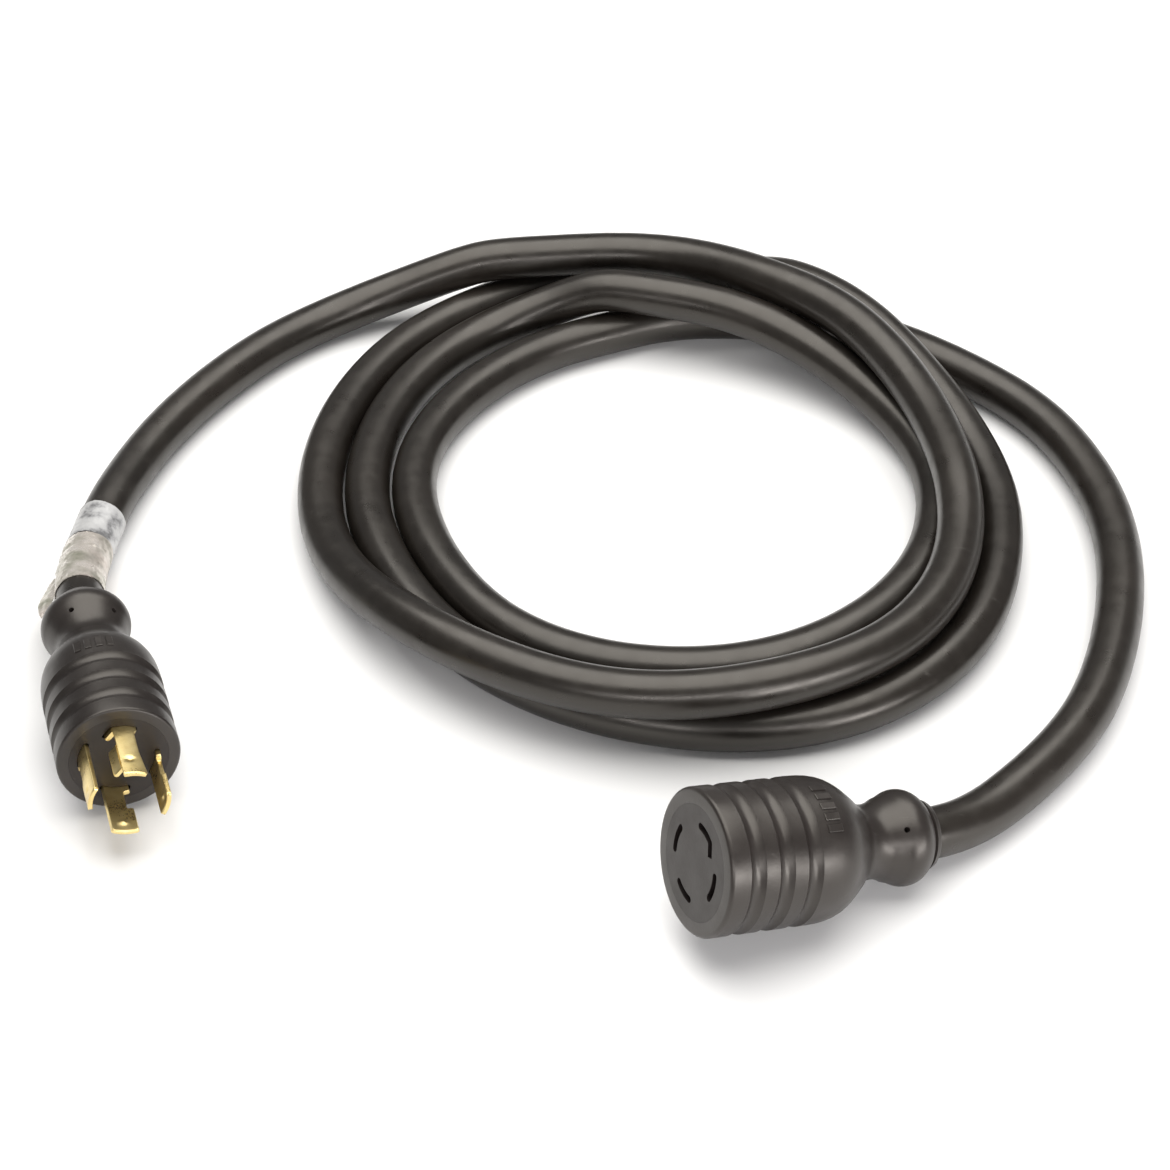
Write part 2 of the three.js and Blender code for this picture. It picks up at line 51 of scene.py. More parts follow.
# ------------------------------------------------------------------ dimensions
# Cable centre line every 7 mm, in mm. It starts 80 mm behind the plug's face and
# ends 80 mm behind the connector's face.
PATH = np.array([
    -188.23, -52.15, 20.01, -190.25, -45.46, 19.60, -192.01, -38.76, 18.72,
    -193.48, -32.03, 17.54, -194.63, -25.26, 16.20, -195.44, -18.46, 14.81,
    -195.90, -11.61, 13.44, -196.03, -4.74, 12.18, -195.86, 2.16, 11.07,
    -195.43, 9.09, 10.18, -194.75, 16.02, 9.95, -193.85, 22.94, 9.95,
    -192.74, 29.84, 9.95, -191.45, 36.71, 9.95, -189.98, 43.55, 9.79,
    -188.33, 50.35, 9.48, -186.50, 57.09, 9.17, -184.48, 63.79, 9.00,
    -182.25, 70.42, 9.00, -179.82, 76.97, 9.00, -177.17, 83.45, 9.00,
    -174.32, 89.83, 9.00, -171.28, 96.13, 9.00, -168.05, 102.33, 9.00,
    -164.66, 108.44, 9.00, -161.09, 114.46, 9.00, -157.36, 120.37, 9.00,
    -153.47, 126.18, 9.00, -149.42, 131.89, 9.00, -145.20, 137.46, 9.00,
    -140.79, 142.89, 9.00, -136.16, 148.13, 9.00, -131.28, 153.14, 9.00,
    -126.15, 157.90, 9.05, -120.75, 162.34, 9.25, -115.09, 166.42, 9.66,
    -109.17, 170.09, 10.33, -103.04, 173.30, 11.29, -96.72, 176.04, 12.54,
    -90.28, 178.31, 14.07, -83.77, 180.13, 15.86, -77.23, 181.57, 17.85,
    -70.67, 182.71, 19.99, -64.08, 183.65, 22.16, -57.45, 184.49, 24.22,
    -50.73, 185.29, 25.98, -43.86, 186.03, 27.05, -36.91, 186.78, 27.46,
    -29.96, 187.58, 27.55, -23.01, 188.39, 27.50, -16.06, 189.17, 27.45,
    -9.10, 189.82, 27.47, -2.12, 190.23, 27.58, 4.87, 190.29, 27.81,
    11.85, 189.89, 28.13, 18.77, 188.96, 28.54, 25.58, 187.46, 29.05,
    32.23, 185.39, 29.65, 38.67, 182.75, 30.35, 44.87, 179.61, 31.13,
    50.83, 176.04, 31.96, 56.55, 172.11, 32.80, 62.09, 167.91, 33.63,
    67.49, 163.55, 34.40, 72.85, 159.10, 35.08, 78.27, 154.70, 35.56,
    83.70, 150.31, 35.86, 89.11, 145.88, 35.96, 94.39, 141.29, 35.80,
    99.47, 136.49, 35.44, 104.28, 131.44, 34.93, 108.78, 126.13, 34.28,
    112.94, 120.55, 33.53, 116.77, 114.76, 32.72, 120.28, 108.77, 31.88,
    123.50, 102.62, 31.06, 126.46, 96.32, 30.29, 129.15, 89.90, 29.60,
    131.56, 83.36, 29.02, 133.70, 76.72, 28.56, 135.58, 69.99, 28.20,
    137.20, 63.20, 27.93, 138.58, 56.34, 27.71, 139.74, 49.45, 27.53,
    140.69, 42.52, 27.33, 141.40, 35.57, 27.06, 141.84, 28.60, 26.66,
    141.98, 21.63, 26.10, 141.82, 14.66, 25.52, 141.34, 7.70, 24.98,
    140.53, 0.77, 24.55, 139.35, -6.12, 24.24, 137.82, -12.94, 24.06,
    135.93, -19.67, 23.98, 133.67, -26.29, 23.98, 131.04, -32.77, 24.02,
    128.01, -39.08, 24.09, 124.58, -45.17, 24.18, 120.76, -51.03, 24.29,
    116.54, -56.61, 24.44, 111.95, -61.88, 24.65, 107.01, -66.82, 24.93,
    101.75, -71.42, 25.28, 96.21, -75.66, 25.69, 90.42, -79.57, 26.09,
    84.42, -83.14, 26.48, 78.23, -86.37, 26.84, 71.86, -89.25, 27.14,
    65.34, -91.76, 27.38, 58.68, -93.90, 27.53, 51.90, -95.64, 27.58,
    45.04, -96.96, 27.54, 38.10, -97.83, 27.41, 31.12, -98.23, 27.20,
    24.13, -98.14, 26.94, 17.16, -97.56, 26.66, 10.26, -96.50, 26.38,
    3.44, -94.97, 26.11, -3.28, -93.02, 25.86, -9.86, -90.67, 25.62,
    -16.31, -87.97, 25.39, -22.61, -84.95, 25.15, -28.78, -81.66, 24.93,
    -34.81, -78.13, 24.72, -40.70, -74.36, 24.48, -46.42, -70.35, 24.21,
    -51.97, -66.10, 23.85, -57.32, -61.62, 23.38, -62.45, -56.91, 22.77,
    -67.34, -51.97, 22.00, -72.00, -46.84, 21.08, -76.42, -41.52, 20.01,
    -80.60, -36.04, 18.82, -84.53, -30.40, 17.54, -88.19, -24.59, 16.19,
    -91.58, -18.63, 14.83, -94.71, -12.51, 13.52, -97.58, -6.25, 12.32,
    -100.18, 0.16, 11.27, -102.49, 6.71, 10.40, -104.49, 13.37, 9.75,
    -106.16, 20.15, 9.31, -107.52, 27.01, 9.08, -108.55, 33.93, 9.00,
    -109.26, 40.89, 9.00, -109.65, 47.87, 9.00, -109.72, 54.86, 9.00,
    -109.49, 61.85, 9.00, -108.96, 68.83, 9.00, -108.13, 75.77, 9.00,
    -107.02, 82.68, 9.00, -105.61, 89.53, 9.00, -103.91, 96.31, 9.00,
    -101.94, 103.02, 9.00, -99.69, 109.65, 9.00, -97.17, 116.17, 9.00,
    -94.38, 122.59, 9.00, -91.31, 128.87, 9.00, -87.93, 134.99, 9.00,
    -84.22, 140.92, 9.00, -80.17, 146.62, 9.00, -75.81, 152.09, 9.00,
    -71.17, 157.33, 9.00, -66.29, 162.34, 9.00, -61.14, 167.06, 9.00,
    -55.79, 171.57, 9.00, -50.30, 175.90, 9.00, -44.70, 180.11, 9.00,
    -39.08, 184.27, 9.00, -33.36, 188.28, 9.00, -27.40, 191.94, 9.00,
    -21.24, 195.24, 9.00, -14.87, 198.14, 9.00, -8.31, 200.55, 9.00,
    -1.56, 202.40, 9.00, 5.32, 203.62, 9.00, 12.29, 204.15, 9.00,
    19.29, 203.97, 9.00, 26.15, 202.75, 9.19, 32.81, 200.75, 9.71,
    39.24, 198.20, 10.60, 45.43, 195.25, 11.89, 51.39, 192.06, 13.58,
    57.17, 188.74, 15.63, 62.80, 185.36, 17.99, 68.34, 181.98, 20.55,
    73.84, 178.53, 23.10, 79.34, 174.82, 25.23, 84.85, 170.78, 26.64,
    90.31, 166.46, 27.29, 95.71, 162.05, 27.53, 100.99, 157.50, 27.28,
    106.10, 152.79, 26.73, 110.99, 147.88, 25.92, 115.64, 142.78, 24.90,
    120.03, 137.50, 23.71, 124.19, 132.06, 22.40, 128.12, 126.46, 21.03,
    131.86, 120.74, 19.64, 135.41, 114.89, 18.28, 138.80, 108.94, 16.98,
    142.02, 102.87, 15.78, 145.04, 96.68, 14.68, 147.82, 90.36, 13.69,
    150.33, 83.91, 12.81, 152.56, 77.35, 12.03, 154.53, 70.69, 11.36,
    156.25, 63.96, 10.78, 157.70, 57.15, 10.29, 158.82, 50.28, 9.89,
    159.58, 43.36, 9.56, 159.95, 36.40, 9.31, 159.94, 29.43, 9.13,
    159.57, 22.46, 9.03, 158.89, 15.52, 9.00, 157.92, 8.61, 9.00,
    156.72, 1.74, 9.00, 155.27, -5.08, 9.00, 153.57, -11.84, 9.00,
    151.59, -18.53, 9.00, 149.30, -25.12, 9.00, 146.68, -31.58, 9.00,
    143.70, -37.89, 9.00, 140.35, -44.00, 9.00, 136.62, -49.90, 9.00,
    132.53, -55.54, 9.00, 128.07, -60.91, 9.00, 123.27, -65.97, 9.00,
    118.14, -70.70, 9.00, 112.72, -75.08, 9.00, 107.01, -79.09, 9.00,
    101.05, -82.71, 9.00, 94.84, -85.89, 9.00, 88.42, -88.62, 9.00,
    81.83, -90.89, 9.00, 75.09, -92.70, 9.00, 68.25, -94.06, 9.00,
    61.34, -94.97, 9.00, 54.38, -95.44, 9.00, 47.41, -95.49, 9.00,
    40.44, -95.14, 9.00, 33.50, -94.40, 9.00, 26.62, -93.30, 9.00,
    19.80, -91.84, 9.00, 13.06, -90.04, 9.00, 6.42, -87.91, 9.00,
    -0.11, -85.45, 9.00, -6.50, -82.66, 9.00, -12.76, -79.57, 9.00,
    -18.85, -76.18, 9.00, -24.76, -72.47, 9.00, -30.46, -68.46, 9.00,
    -35.95, -64.16, 9.00, -41.20, -59.57, 9.00, -46.21, -54.72, 9.00,
    -50.97, -49.62, 9.00, -55.46, -44.28, 9.00, -59.69, -38.73, 9.00,
    -63.64, -32.99, 9.00, -67.32, -27.06, 9.00, -70.74, -20.99, 9.00,
    -73.91, -14.77, 9.00, -76.86, -8.45, 9.00, -79.58, -2.03, 9.00,
    -82.07, 4.48, 9.00, -84.31, 11.09, 9.00, -86.28, 17.78, 9.00,
    -87.94, 24.55, 9.00, -89.24, 31.41, 9.00, -90.18, 38.32, 9.00,
    -90.76, 45.27, 9.00, -90.98, 52.24, 9.00, -90.85, 59.21, 9.00,
    -90.37, 66.17, 9.00, -89.58, 73.10, 9.00, -88.46, 79.98, 9.00,
    -87.04, 86.81, 9.00, -85.31, 93.57, 9.00, -83.26, 100.23, 9.00,
    -80.87, 106.79, 9.00, -78.15, 113.21, 9.00, -75.09, 119.47, 9.00,
    -71.71, 125.58, 9.00, -68.01, 131.49, 9.00, -63.98, 137.18, 9.00,
    -59.56, 142.58, 9.09, -54.72, 147.59, 9.34, -49.46, 152.15, 9.83,
    -43.77, 156.10, 10.64, -37.70, 159.33, 11.81, -31.37, 161.79, 13.38,
    -24.90, 163.47, 15.35, -18.39, 164.43, 17.67, -11.92, 164.73, 20.27,
    -5.49, 164.46, 22.95, 1.00, 163.66, 25.39, 7.65, 162.26, 26.95,
    14.40, 160.55, 27.51, 21.14, 158.77, 27.66, 27.88, 156.97, 27.63,
    34.61, 155.14, 27.52, 41.30, 153.19, 27.35, 47.94, 151.05, 27.10,
    54.47, 148.63, 26.74, 60.86, 145.90, 26.22, 67.10, 142.85, 25.54,
    73.16, 139.51, 24.69, 79.05, 135.92, 23.66, 84.81, 132.15, 22.53,
    90.41, 128.19, 21.28, 95.83, 124.01, 19.93, 101.04, 119.60, 18.50,
    106.02, 114.94, 17.04, 110.75, 110.02, 15.60, 115.21, 104.83, 14.26,
    119.39, 99.38, 13.05, 123.24, 93.66, 12.01, 126.71, 87.67, 11.14,
    129.74, 81.42, 10.45, 132.28, 74.95, 9.91, 134.31, 68.29, 9.50,
    135.82, 61.49, 9.22, 136.80, 54.58, 9.06, 137.26, 47.63, 9.00,
    137.22, 40.65, 9.00, 136.73, 33.69, 9.00, 135.80, 26.78, 9.00,
    134.48, 19.93, 9.00, 132.75, 13.18, 9.00, 130.59, 6.55, 9.00,
    128.02, 0.06, 9.00, 125.03, -6.24, 9.00, 121.65, -12.34, 9.00,
    117.87, -18.20, 9.00, 113.74, -23.82, 9.00, 109.25, -29.16, 9.00,
    104.44, -34.21, 9.00, 99.33, -38.95, 9.00, 93.92, -43.36, 9.00,
    88.25, -47.41, 9.00, 82.32, -51.08, 9.00, 76.16, -54.35, 9.00,
    69.79, -57.19, 9.00, 63.23, -59.58, 9.00, 56.53, -61.51, 9.00,
    49.71, -62.96, 9.00, 42.80, -63.92, 9.00, 35.84, -64.40, 9.00,
    28.87, -64.40, 9.00, 21.91, -63.93, 9.00, 15.00, -62.99, 9.00,
    8.17, -61.59, 9.00, 1.45, -59.72, 9.00, -5.13, -57.40, 9.00,
    -11.52, -54.62, 9.00, -17.70, -51.37, 9.00, -23.60, -47.65, 9.00,
    -29.18, -43.48, 9.00, -34.42, -38.87, 9.00, -39.27, -33.86, 9.00,
    -43.73, -28.49, 9.00, -47.81, -22.84, 9.00, -51.54, -16.94, 9.00,
    -54.96, -10.86, 9.00, -58.12, -4.65, 9.00, -61.01, 1.70, 9.00,
    -63.61, 8.17, 9.00, -65.91, 14.75, 9.00, -67.89, 21.44, 9.00,
    -69.55, 28.22, 9.00, -70.83, 35.07, 9.00, -71.69, 41.99, 9.00,
    -72.07, 48.96, 9.00, -71.96, 55.93, 9.00, -71.35, 62.88, 9.00,
    -70.22, 69.76, 9.00, -68.60, 76.55, 9.00, -66.52, 83.20, 9.00,
    -63.98, 89.70, 9.00, -61.03, 96.02, 9.00, -57.70, 102.14, 9.00,
    -54.00, 108.06, 9.00, -49.97, 113.75, 9.00, -45.63, 119.21, 9.00,
    -41.00, 124.43, 9.00, -36.10, 129.39, 9.00, -30.93, 134.07, 9.00,
    -25.50, 138.45, 9.00, -19.83, 142.50, 9.00, -13.91, 146.20, 9.00,
    -7.79, 149.54, 9.01, -1.51, 152.58, 9.00, 4.86, 155.41, 9.00,
    11.25, 158.23, 9.00, 17.68, 160.92, 9.05, 24.25, 163.25, 9.12,
    30.97, 165.12, 9.14, 37.81, 166.48, 9.15, 44.73, 167.31, 9.14,
    51.70, 167.65, 9.13, 58.67, 167.52, 9.11, 65.63, 167.01, 9.06,
    72.56, 166.24, 9.00, 79.49, 165.44, 9.00, 86.42, 164.63, 9.00,
    93.32, 163.65, 9.00, 100.14, 162.21, 9.04, 106.83, 160.24, 9.05,
    113.34, 157.73, 9.03, 119.63, 154.71, 9.01, 125.70, 151.28, 9.00,
    131.55, 147.49, 9.00, 137.22, 143.43, 9.00, 142.73, 139.14, 9.00,
    148.08, 134.68, 9.00, 153.31, 130.06, 9.00, 158.42, 125.31, 9.00,
    163.38, 120.41, 9.00, 168.19, 115.36, 9.00, 172.78, 110.11, 9.00,
    177.11, 104.64, 9.00, 181.13, 98.94, 9.00, 184.80, 93.01, 9.00,
    188.10, 86.87, 9.00, 191.03, 80.54, 9.00, 193.61, 74.06, 9.00,
    195.88, 67.46, 9.00, 197.87, 60.78, 9.00, 199.65, 54.02, 9.00,
    201.11, 47.18, 9.00, 202.27, 40.28, 9.00, 203.13, 33.34, 9.00,
    203.68, 26.37, 9.00, 203.94, 19.38, 9.00, 203.92, 12.39, 9.00,
    203.64, 5.41, 9.00, 203.11, -1.57, 9.00, 202.35, -8.52, 9.00,
    201.37, -15.44, 9.00, 200.19, -22.33, 9.00, 198.81, -29.19, 9.00,
    197.25, -36.01, 9.00, 195.52, -42.78, 9.00, 193.62, -49.51, 9.00,
    191.54, -56.19, 9.00, 189.28, -62.80, 9.00, 186.81, -69.34, 9.00,
    184.10, -75.79, 9.00, 181.13, -82.12, 9.00, 177.88, -88.31, 9.00,
    174.33, -94.34, 9.00, 170.50, -100.19, 9.00, 166.42, -105.86, 9.00,
    162.12, -111.38, 9.00, 157.63, -116.74, 9.00, 153.00, -121.98, 9.00,
    148.23, -127.09, 9.00, 143.32, -132.07, 9.00, 138.26, -136.90, 9.18,
    133.02, -141.50, 9.68, 127.58, -145.80, 10.56, 121.93, -149.74, 11.80,
    116.09, -153.26, 13.34, 110.06, -156.36, 15.01, 103.79, -159.02, 16.63,
], float).reshape(-1, 3)
PLUG_FACE = np.array([-165.175, -128.615, 24.61])
PLUG_AXIS = np.array([0.28824, -0.95583, 0.05753])
CONN_FACE = np.array([32.175, -189.475, 35.17])
CONN_AXIS = np.array([-0.8952, -0.38067, 0.23176])
PLUG_AXIS = PLUG_AXIS / np.linalg.norm(PLUG_AXIS)
CONN_AXIS = CONN_AXIS / np.linalg.norm(CONN_AXIS)
CABLE_R = 9.0
TOTAL = 80.0 + 7.0 * (len(PATH) - 1) + 80.0  # face to face along the cable

PLUG_R, PLUG_CORE_R = 21.6, 17.4
CONN_R, CONN_CORE_R = 25.0, 19.6
KNOB_R, NECK_R = 16.6, 12.7
VALLEYS = (10.1, 20.8, 31.5)
VALLEY_HALF, VALLEY_DEEP = 2.85, 1.4

BLADE_CIRCLE_R, BLADE_T, BLADE_W, BLADE_OUT = 13.4, 1.7, 9.6, 24.2
NOTCH_Z, NOTCH_DEPTH = (2.6, 12.2), 2.3
EARTH_W, EARTH_OUT = 8.2, 26.0
FLANGE_L, FLANGE_FOLD, FLANGE_Z, FLANGE_STUB = 4.2, 42.0, (9.5, 22.6), 1.8
SLOT_R, SLOT_T = 13.6, 2.5
SLOT_W = {"earth": 10.4, "line_x": 11.4, "neutral": 10.8, "line_y": 11.4}
POLE_OFFSETS = {"earth": 0.0, "line_x": -96.0, "neutral": 180.0, "line_y": 83.0}
PLUG_EARTH_AT, CONN_EARTH_AT = 76.9, 85.5


# --------------------------------------------------------------------- helpers
def body_frame(face, axis):
    """Columns X, Y, Z (out of the face) of an end body."""
    z = axis
    x = np.cross([0, 0, 1.0], z)
    x /= np.linalg.norm(x)
    y = np.cross(z, x)
    return np.array([x, y, z]).T


def to_world(local_mm, face, axis):
    return (np.asarray(local_mm, float) @ body_frame(face, axis).T + face) * MM


def mesh_object(name, verts, faces, sharp=38.0):
    """A closed mesh as an object; verts in metres."""
    me = bpy.data.meshes.new(name)
    me.from_pydata([tuple(map(float, v)) for v in verts], [], [tuple(f) for f in faces])
    me.validate()
    bm = bmesh.new()
    bm.from_mesh(me)
    bmesh.ops.recalc_face_normals(bm, faces=bm.faces[:])
    bm.to_mesh(me)
    bm.free()
    me.shade_smooth()
    if sharp is not None:
        me.set_sharp_from_angle(angle=math.radians(sharp))
    ob = bpy.data.objects.new(name, me)
    bpy.context.scene.collection.objects.link(ob)
    return ob


def set_material(ob, mat):
    ob.data.materials.clear()
    ob.data.materials.append(mat)


def cubic(xs, ys):
    """Natural cubic spline through rows of ys, as a function of x."""
    n = len(xs)
    h = np.diff(xs)
    a = np.zeros((n, n))
    b = np.zeros((n, ys.shape[1]))
    a[0, 0] = a[-1, -1] = 1
    for i in range(1, n - 1):
        a[i, i - 1], a[i, i], a[i, i + 1] = h[i - 1], 2 * (h[i - 1] + h[i]), h[i]
        b[i] = 3 * ((ys[i + 1] - ys[i]) / h[i] - (ys[i] - ys[i - 1]) / h[i - 1])
    c = np.linalg.solve(a, b)

    def f(t):
        t = np.asarray(t, float)
        i = np.clip(np.searchsorted(xs, t) - 1, 0, n - 2)
        d = (t - xs[i])[:, None]
        hi = h[i][:, None]
        m = (ys[i + 1] - ys[i]) / hi - hi * (2 * c[i] + c[i + 1]) / 3
        return ys[i] + m * d + c[i] * d**2 + (c[i + 1] - c[i]) / (3 * hi) * d**3

    return f


def hash01(i, k=0):
    v = math.sin(i * 127.1 + k * 311.7 + 74.7) * 43758.5453
    return v - math.floor(v)


# --------------------------------------------------------------- cable geometry
_lead_in = np.array([PLUG_FACE - PLUG_AXIS * d for d in (52, 59, 66, 73)])
_lead_out = np.array([CONN_FACE - CONN_AXIS * d for d in (73, 66, 59, 52)])
_xs = 52 + 7.0 * np.arange(len(PATH) + 8)
_centre = cubic(_xs, np.vstack([_lead_in, PATH, _lead_out]))
_S = np.arange(52.0, _xs[-1] + 0.01, 1.0)
_C = _centre(_S)
_T = np.gradient(_C, axis=0)
_T /= np.linalg.norm(_T, axis=1)[:, None]
_N = np.zeros_like(_C)
_n = np.cross(_T[0], [0, 0, 1.0])
_N[0] = _n / np.linalg.norm(_n)
for _i in range(1, len(_C)):
    _v = _N[_i - 1] - _T[_i] * (_N[_i - 1] @ _T[_i])
    _N[_i] = _v / np.linalg.norm(_v)
_B = np.cross(_T, _N)


def station(s):
    """Centre, tangent, normal and binormal of the cable at arc coordinate s (mm)."""
    i = min(max(int(round(s - _S[0])), 0), len(_S) - 1)
    return _C[i], _T[i], _N[i], _B[i]


def jacket(name, s0, s1, step, sides, radius=CABLE_R, cap=0.6):
    """A run of round cable between two arc coordinates."""
    ss = np.unique(np.round(np.append(np.arange(s0, s1, step), s1)))
    rings = []
    for s in ss:
        c, t, n, b = station(s)
        ring = []
        for k in range(sides):
            a = 2 * math.pi * k / sides
            d = math.cos(a) * n + math.sin(a) * b
            p = c + d * radius
            wob = noise.noise(Vector(p) * 0.02) * 0.10 + noise.noise(Vector(p) * 0.09) * 0.035
            ring.append(c + d * (radius + wob))
        rings.append(ring)
    verts = [p for r in rings for p in r]
    faces = []
    for i in range(len(rings) - 1):
        for k in range(sides):
            k2 = (k + 1) % sides
            faces.append((i * sides + k, i * sides + k2, (i + 1) * sides + k2, (i + 1) * sides + k))
    for i, flip in ((0, True), (len(rings) - 1, False)):
        c = len(verts)
        verts.append(station(ss[0] if flip else ss[-1])[0])
        for k in range(sides):
            k2 = (k + 1) % sides
            f = (c, i * sides + k2, i * sides + k)
            faces.append(f if flip else f[::-1])
    return mesh_object(name, np.array(verts) * MM, faces, sharp=50)


# ------------------------------------------------------------------- materials
def nodes_of(name):
    mat = bpy.data.materials.new(name)
    mat.use_nodes = True
    nt = mat.node_tree
    nt.nodes.clear()
    out = nt.nodes.new("ShaderNodeOutputMaterial")
    bsdf = nt.nodes.new("ShaderNodeBsdfPrincipled")
    nt.links.new(bsdf.outputs[0], out.inputs["Surface"])
    return mat, nt, bsdf


def add(nt, kind, **values):
    node = nt.nodes.new(kind)
    for k, v in values.items():
        if k in node.inputs:
            node.inputs[k].default_value = v
        else:
            setattr(node, k, v)
    return node


def coords(nt):
    return add(nt, "ShaderNodeTexCoord").outputs["Object"]


def noise_tex(nt, scale, detail=3.0, rough=0.55, vector=None):
    n = add(nt, "ShaderNodeTexNoise")
    n.inputs["Scale"].default_value = scale
    n.inputs["Detail"].default_value = detail
    n.inputs["Roughness"].default_value = rough
    nt.links.new(vector if vector is not None else coords(nt), n.inputs["Vector"])
    return n.outputs["Fac"]


def ramp(nt, fac, stops):
    r = nt.nodes.new("ShaderNodeValToRGB")
    el = r.color_ramp.elements
    while len(el) > 1:
        el.remove(el[-1])
    el[0].position, el[0].color = stops[0][0], stops[0][1]
    for p, c in stops[1:]:
        e = el.new(p)
        e.color = c
    nt.links.new(fac, r.inputs["Fac"])
    return r.outputs["Color"]


def grey(v):
    return (v, v, v, 1)


def maprange(nt, fac, lo, hi, a=0.0, b=1.0):
    m = nt.nodes.new("ShaderNodeMapRange")
    m.inputs["From Min"].default_value = a
    m.inputs["From Max"].default_value = b
    m.inputs["To Min"].default_value = lo
    m.inputs["To Max"].default_value = hi
    nt.links.new(fac, m.inputs["Value"])
    return m.outputs["Result"]


def math_node(nt, op, a, b):
    m = nt.nodes.new("ShaderNodeMath")
    m.operation = op
    for i, v in enumerate((a, b)):
        if isinstance(v, (int, float)):
            m.inputs[i].default_value = v
        else:
            nt.links.new(v, m.inputs[i])
    return m.outputs[0]


def mix_rgb(nt, fac, a, b, mode="MIX"):
    m = nt.nodes.new("ShaderNodeMix")
    m.data_type = "RGBA"
    m.blend_type = mode
    for sock, v in ((m.inputs["Factor"], fac), (m.inputs[6], a), (m.inputs[7], b)):
        if isinstance(v, (int, float)):
            sock.default_value = v
        elif isinstance(v, tuple):
            sock.default_value = v
        else:
            nt.links.new(v, sock)
    return m.outputs[2]


def bump(nt, bsdf, height, strength, distance, normal=None):
    b = nt.nodes.new("ShaderNodeBump")
    b.inputs["Strength"].default_value = strength
    b.inputs["Distance"].default_value = distance
    nt.links.new(height, b.inputs["Height"])
    if normal is not None:
        nt.links.new(normal, b.inputs["Normal"])
    nt.links.new(b.outputs["Normal"], bsdf.inputs["Normal"])
    return b.outputs["Normal"]


def stretched(nt, scale_xyz):
    m = nt.nodes.new("ShaderNodeMapping")
    m.inputs["Scale"].default_value = scale_xyz
    nt.links.new(coords(nt), m.inputs["Vector"])
    return m.outputs["Vector"]


def rubber(name, dark, light, rough_lo, rough_hi, spec, grain, dusty=0.0):
    """Black rubber: slow colour drift, fine grain, a few scuffs, faint dust."""
    mat, nt, bsdf = nodes_of(name)
    slow = noise_tex(nt, 16.0, 2.0)
    fine = noise_tex(nt, 900.0, 2.0)
    mid = noise_tex(nt, 120.0, 4.0, 0.6)
    base = ramp(nt, slow, [(0.3, dark), (0.7, light)])
    base = mix_rgb(nt, maprange(nt, mid, 0.0, 0.35, 0.45, 0.8), base, tuple(1.25 * c for c in light[:3]) + (1,))
    # scuffs: thin pale streaks where two noises line up
    streak = noise_tex(nt, 1.0, 5.0, 0.7, stretched(nt, (55, 260, 140)))
    scuff = maprange(nt, streak, 0.0, 1.0, 0.66, 0.74)
    base = mix_rgb(nt, math_node(nt, "MULTIPLY", scuff, 0.22), base, (0.10, 0.095, 0.088, 1))
    if dusty:
        geo = add(nt, "ShaderNodeNewGeometry")
        up = add(nt, "ShaderNodeSeparateXYZ")
        nt.links.new(geo.outputs["Normal"], up.inputs[0])
        dust = math_node(nt, "MULTIPLY", maprange(nt, up.outputs["Z"], 0.0, dusty, 0.3, 1.0), maprange(nt, mid, 0.4, 1.0, 0.3, 0.7))
        base = mix_rgb(nt, dust, base, (0.16, 0.15, 0.135, 1))
    nt.links.new(base, bsdf.inputs["Base Color"])
    rough = maprange(nt, mid, rough_lo, rough_hi, 0.3, 0.7)
    rough = math_node(nt, "ADD", rough, math_node(nt, "MULTIPLY", scuff, 0.12))
    nt.links.new(rough, bsdf.inputs["Roughness"])
    bsdf.inputs["Specular IOR Level"].default_value = spec
    bsdf.inputs["Specular Tint"].default_value = (1.0, 0.95, 0.88, 1)
    h = math_node(nt, "ADD", math_node(nt, "MULTIPLY", fine, 0.5), math_node(nt, "MULTIPLY", mid, 0.5))
    bump(nt, bsdf, h, grain, 0.00012)
    return mat


def brass_material(name):
    mat, nt, bsdf = nodes_of(name)
    bsdf.inputs["Metallic"].default_value = 1.0
    slow = noise_tex(nt, 90.0, 3.0)
    brushed = noise_tex(nt, 1.0, 4.0, 0.6, stretched(nt, (1500, 1500, 120)))
    col = ramp(nt, slow, [(0.25, (0.62, 0.46, 0.19, 1)), (0.5, (0.78, 0.62, 0.28, 1)), (0.8, (0.86, 0.72, 0.38, 1))])
    col = mix_rgb(nt, maprange(nt, brushed, 0.0, 0.3, 0.4, 0.8), col, (0.52, 0.39, 0.17, 1))
    nt.links.new(col, bsdf.inputs["Base Color"])
    r = math_node(nt, "ADD", maprange(nt, slow, 0.2, 0.34, 0.3, 0.7), maprange(nt, brushed, 0.0, 0.12, 0.3, 0.7))
    nt.links.new(r, bsdf.inputs["Roughness"])
    bump(nt, bsdf, math_node(nt, "ADD", brushed, math_node(nt, "MULTIPLY", slow, 2.0)), 0.25, 0.00006)
    return mat


def wire_material(name, colour, stranded=False):
    mat, nt, bsdf = nodes_of(name)
    n = noise_tex(nt, 260.0, 3.0)
    dark = tuple(0.82 * c for c in colour) + (1,)
    nt.links.new(ramp(nt, n, [(0.3, dark), (0.7, tuple(colour) + (1,))]), bsdf.inputs["Base Color"])
    nt.links.new(maprange(nt, n, 0.3, 0.5, 0.3, 0.7), bsdf.inputs["Roughness"])
    if stranded:
        bsdf.inputs["Metallic"].default_value = 1.0
    bump(nt, bsdf, noise_tex(nt, 1200.0, 2.0), 0.15, 0.00005)
    return mat


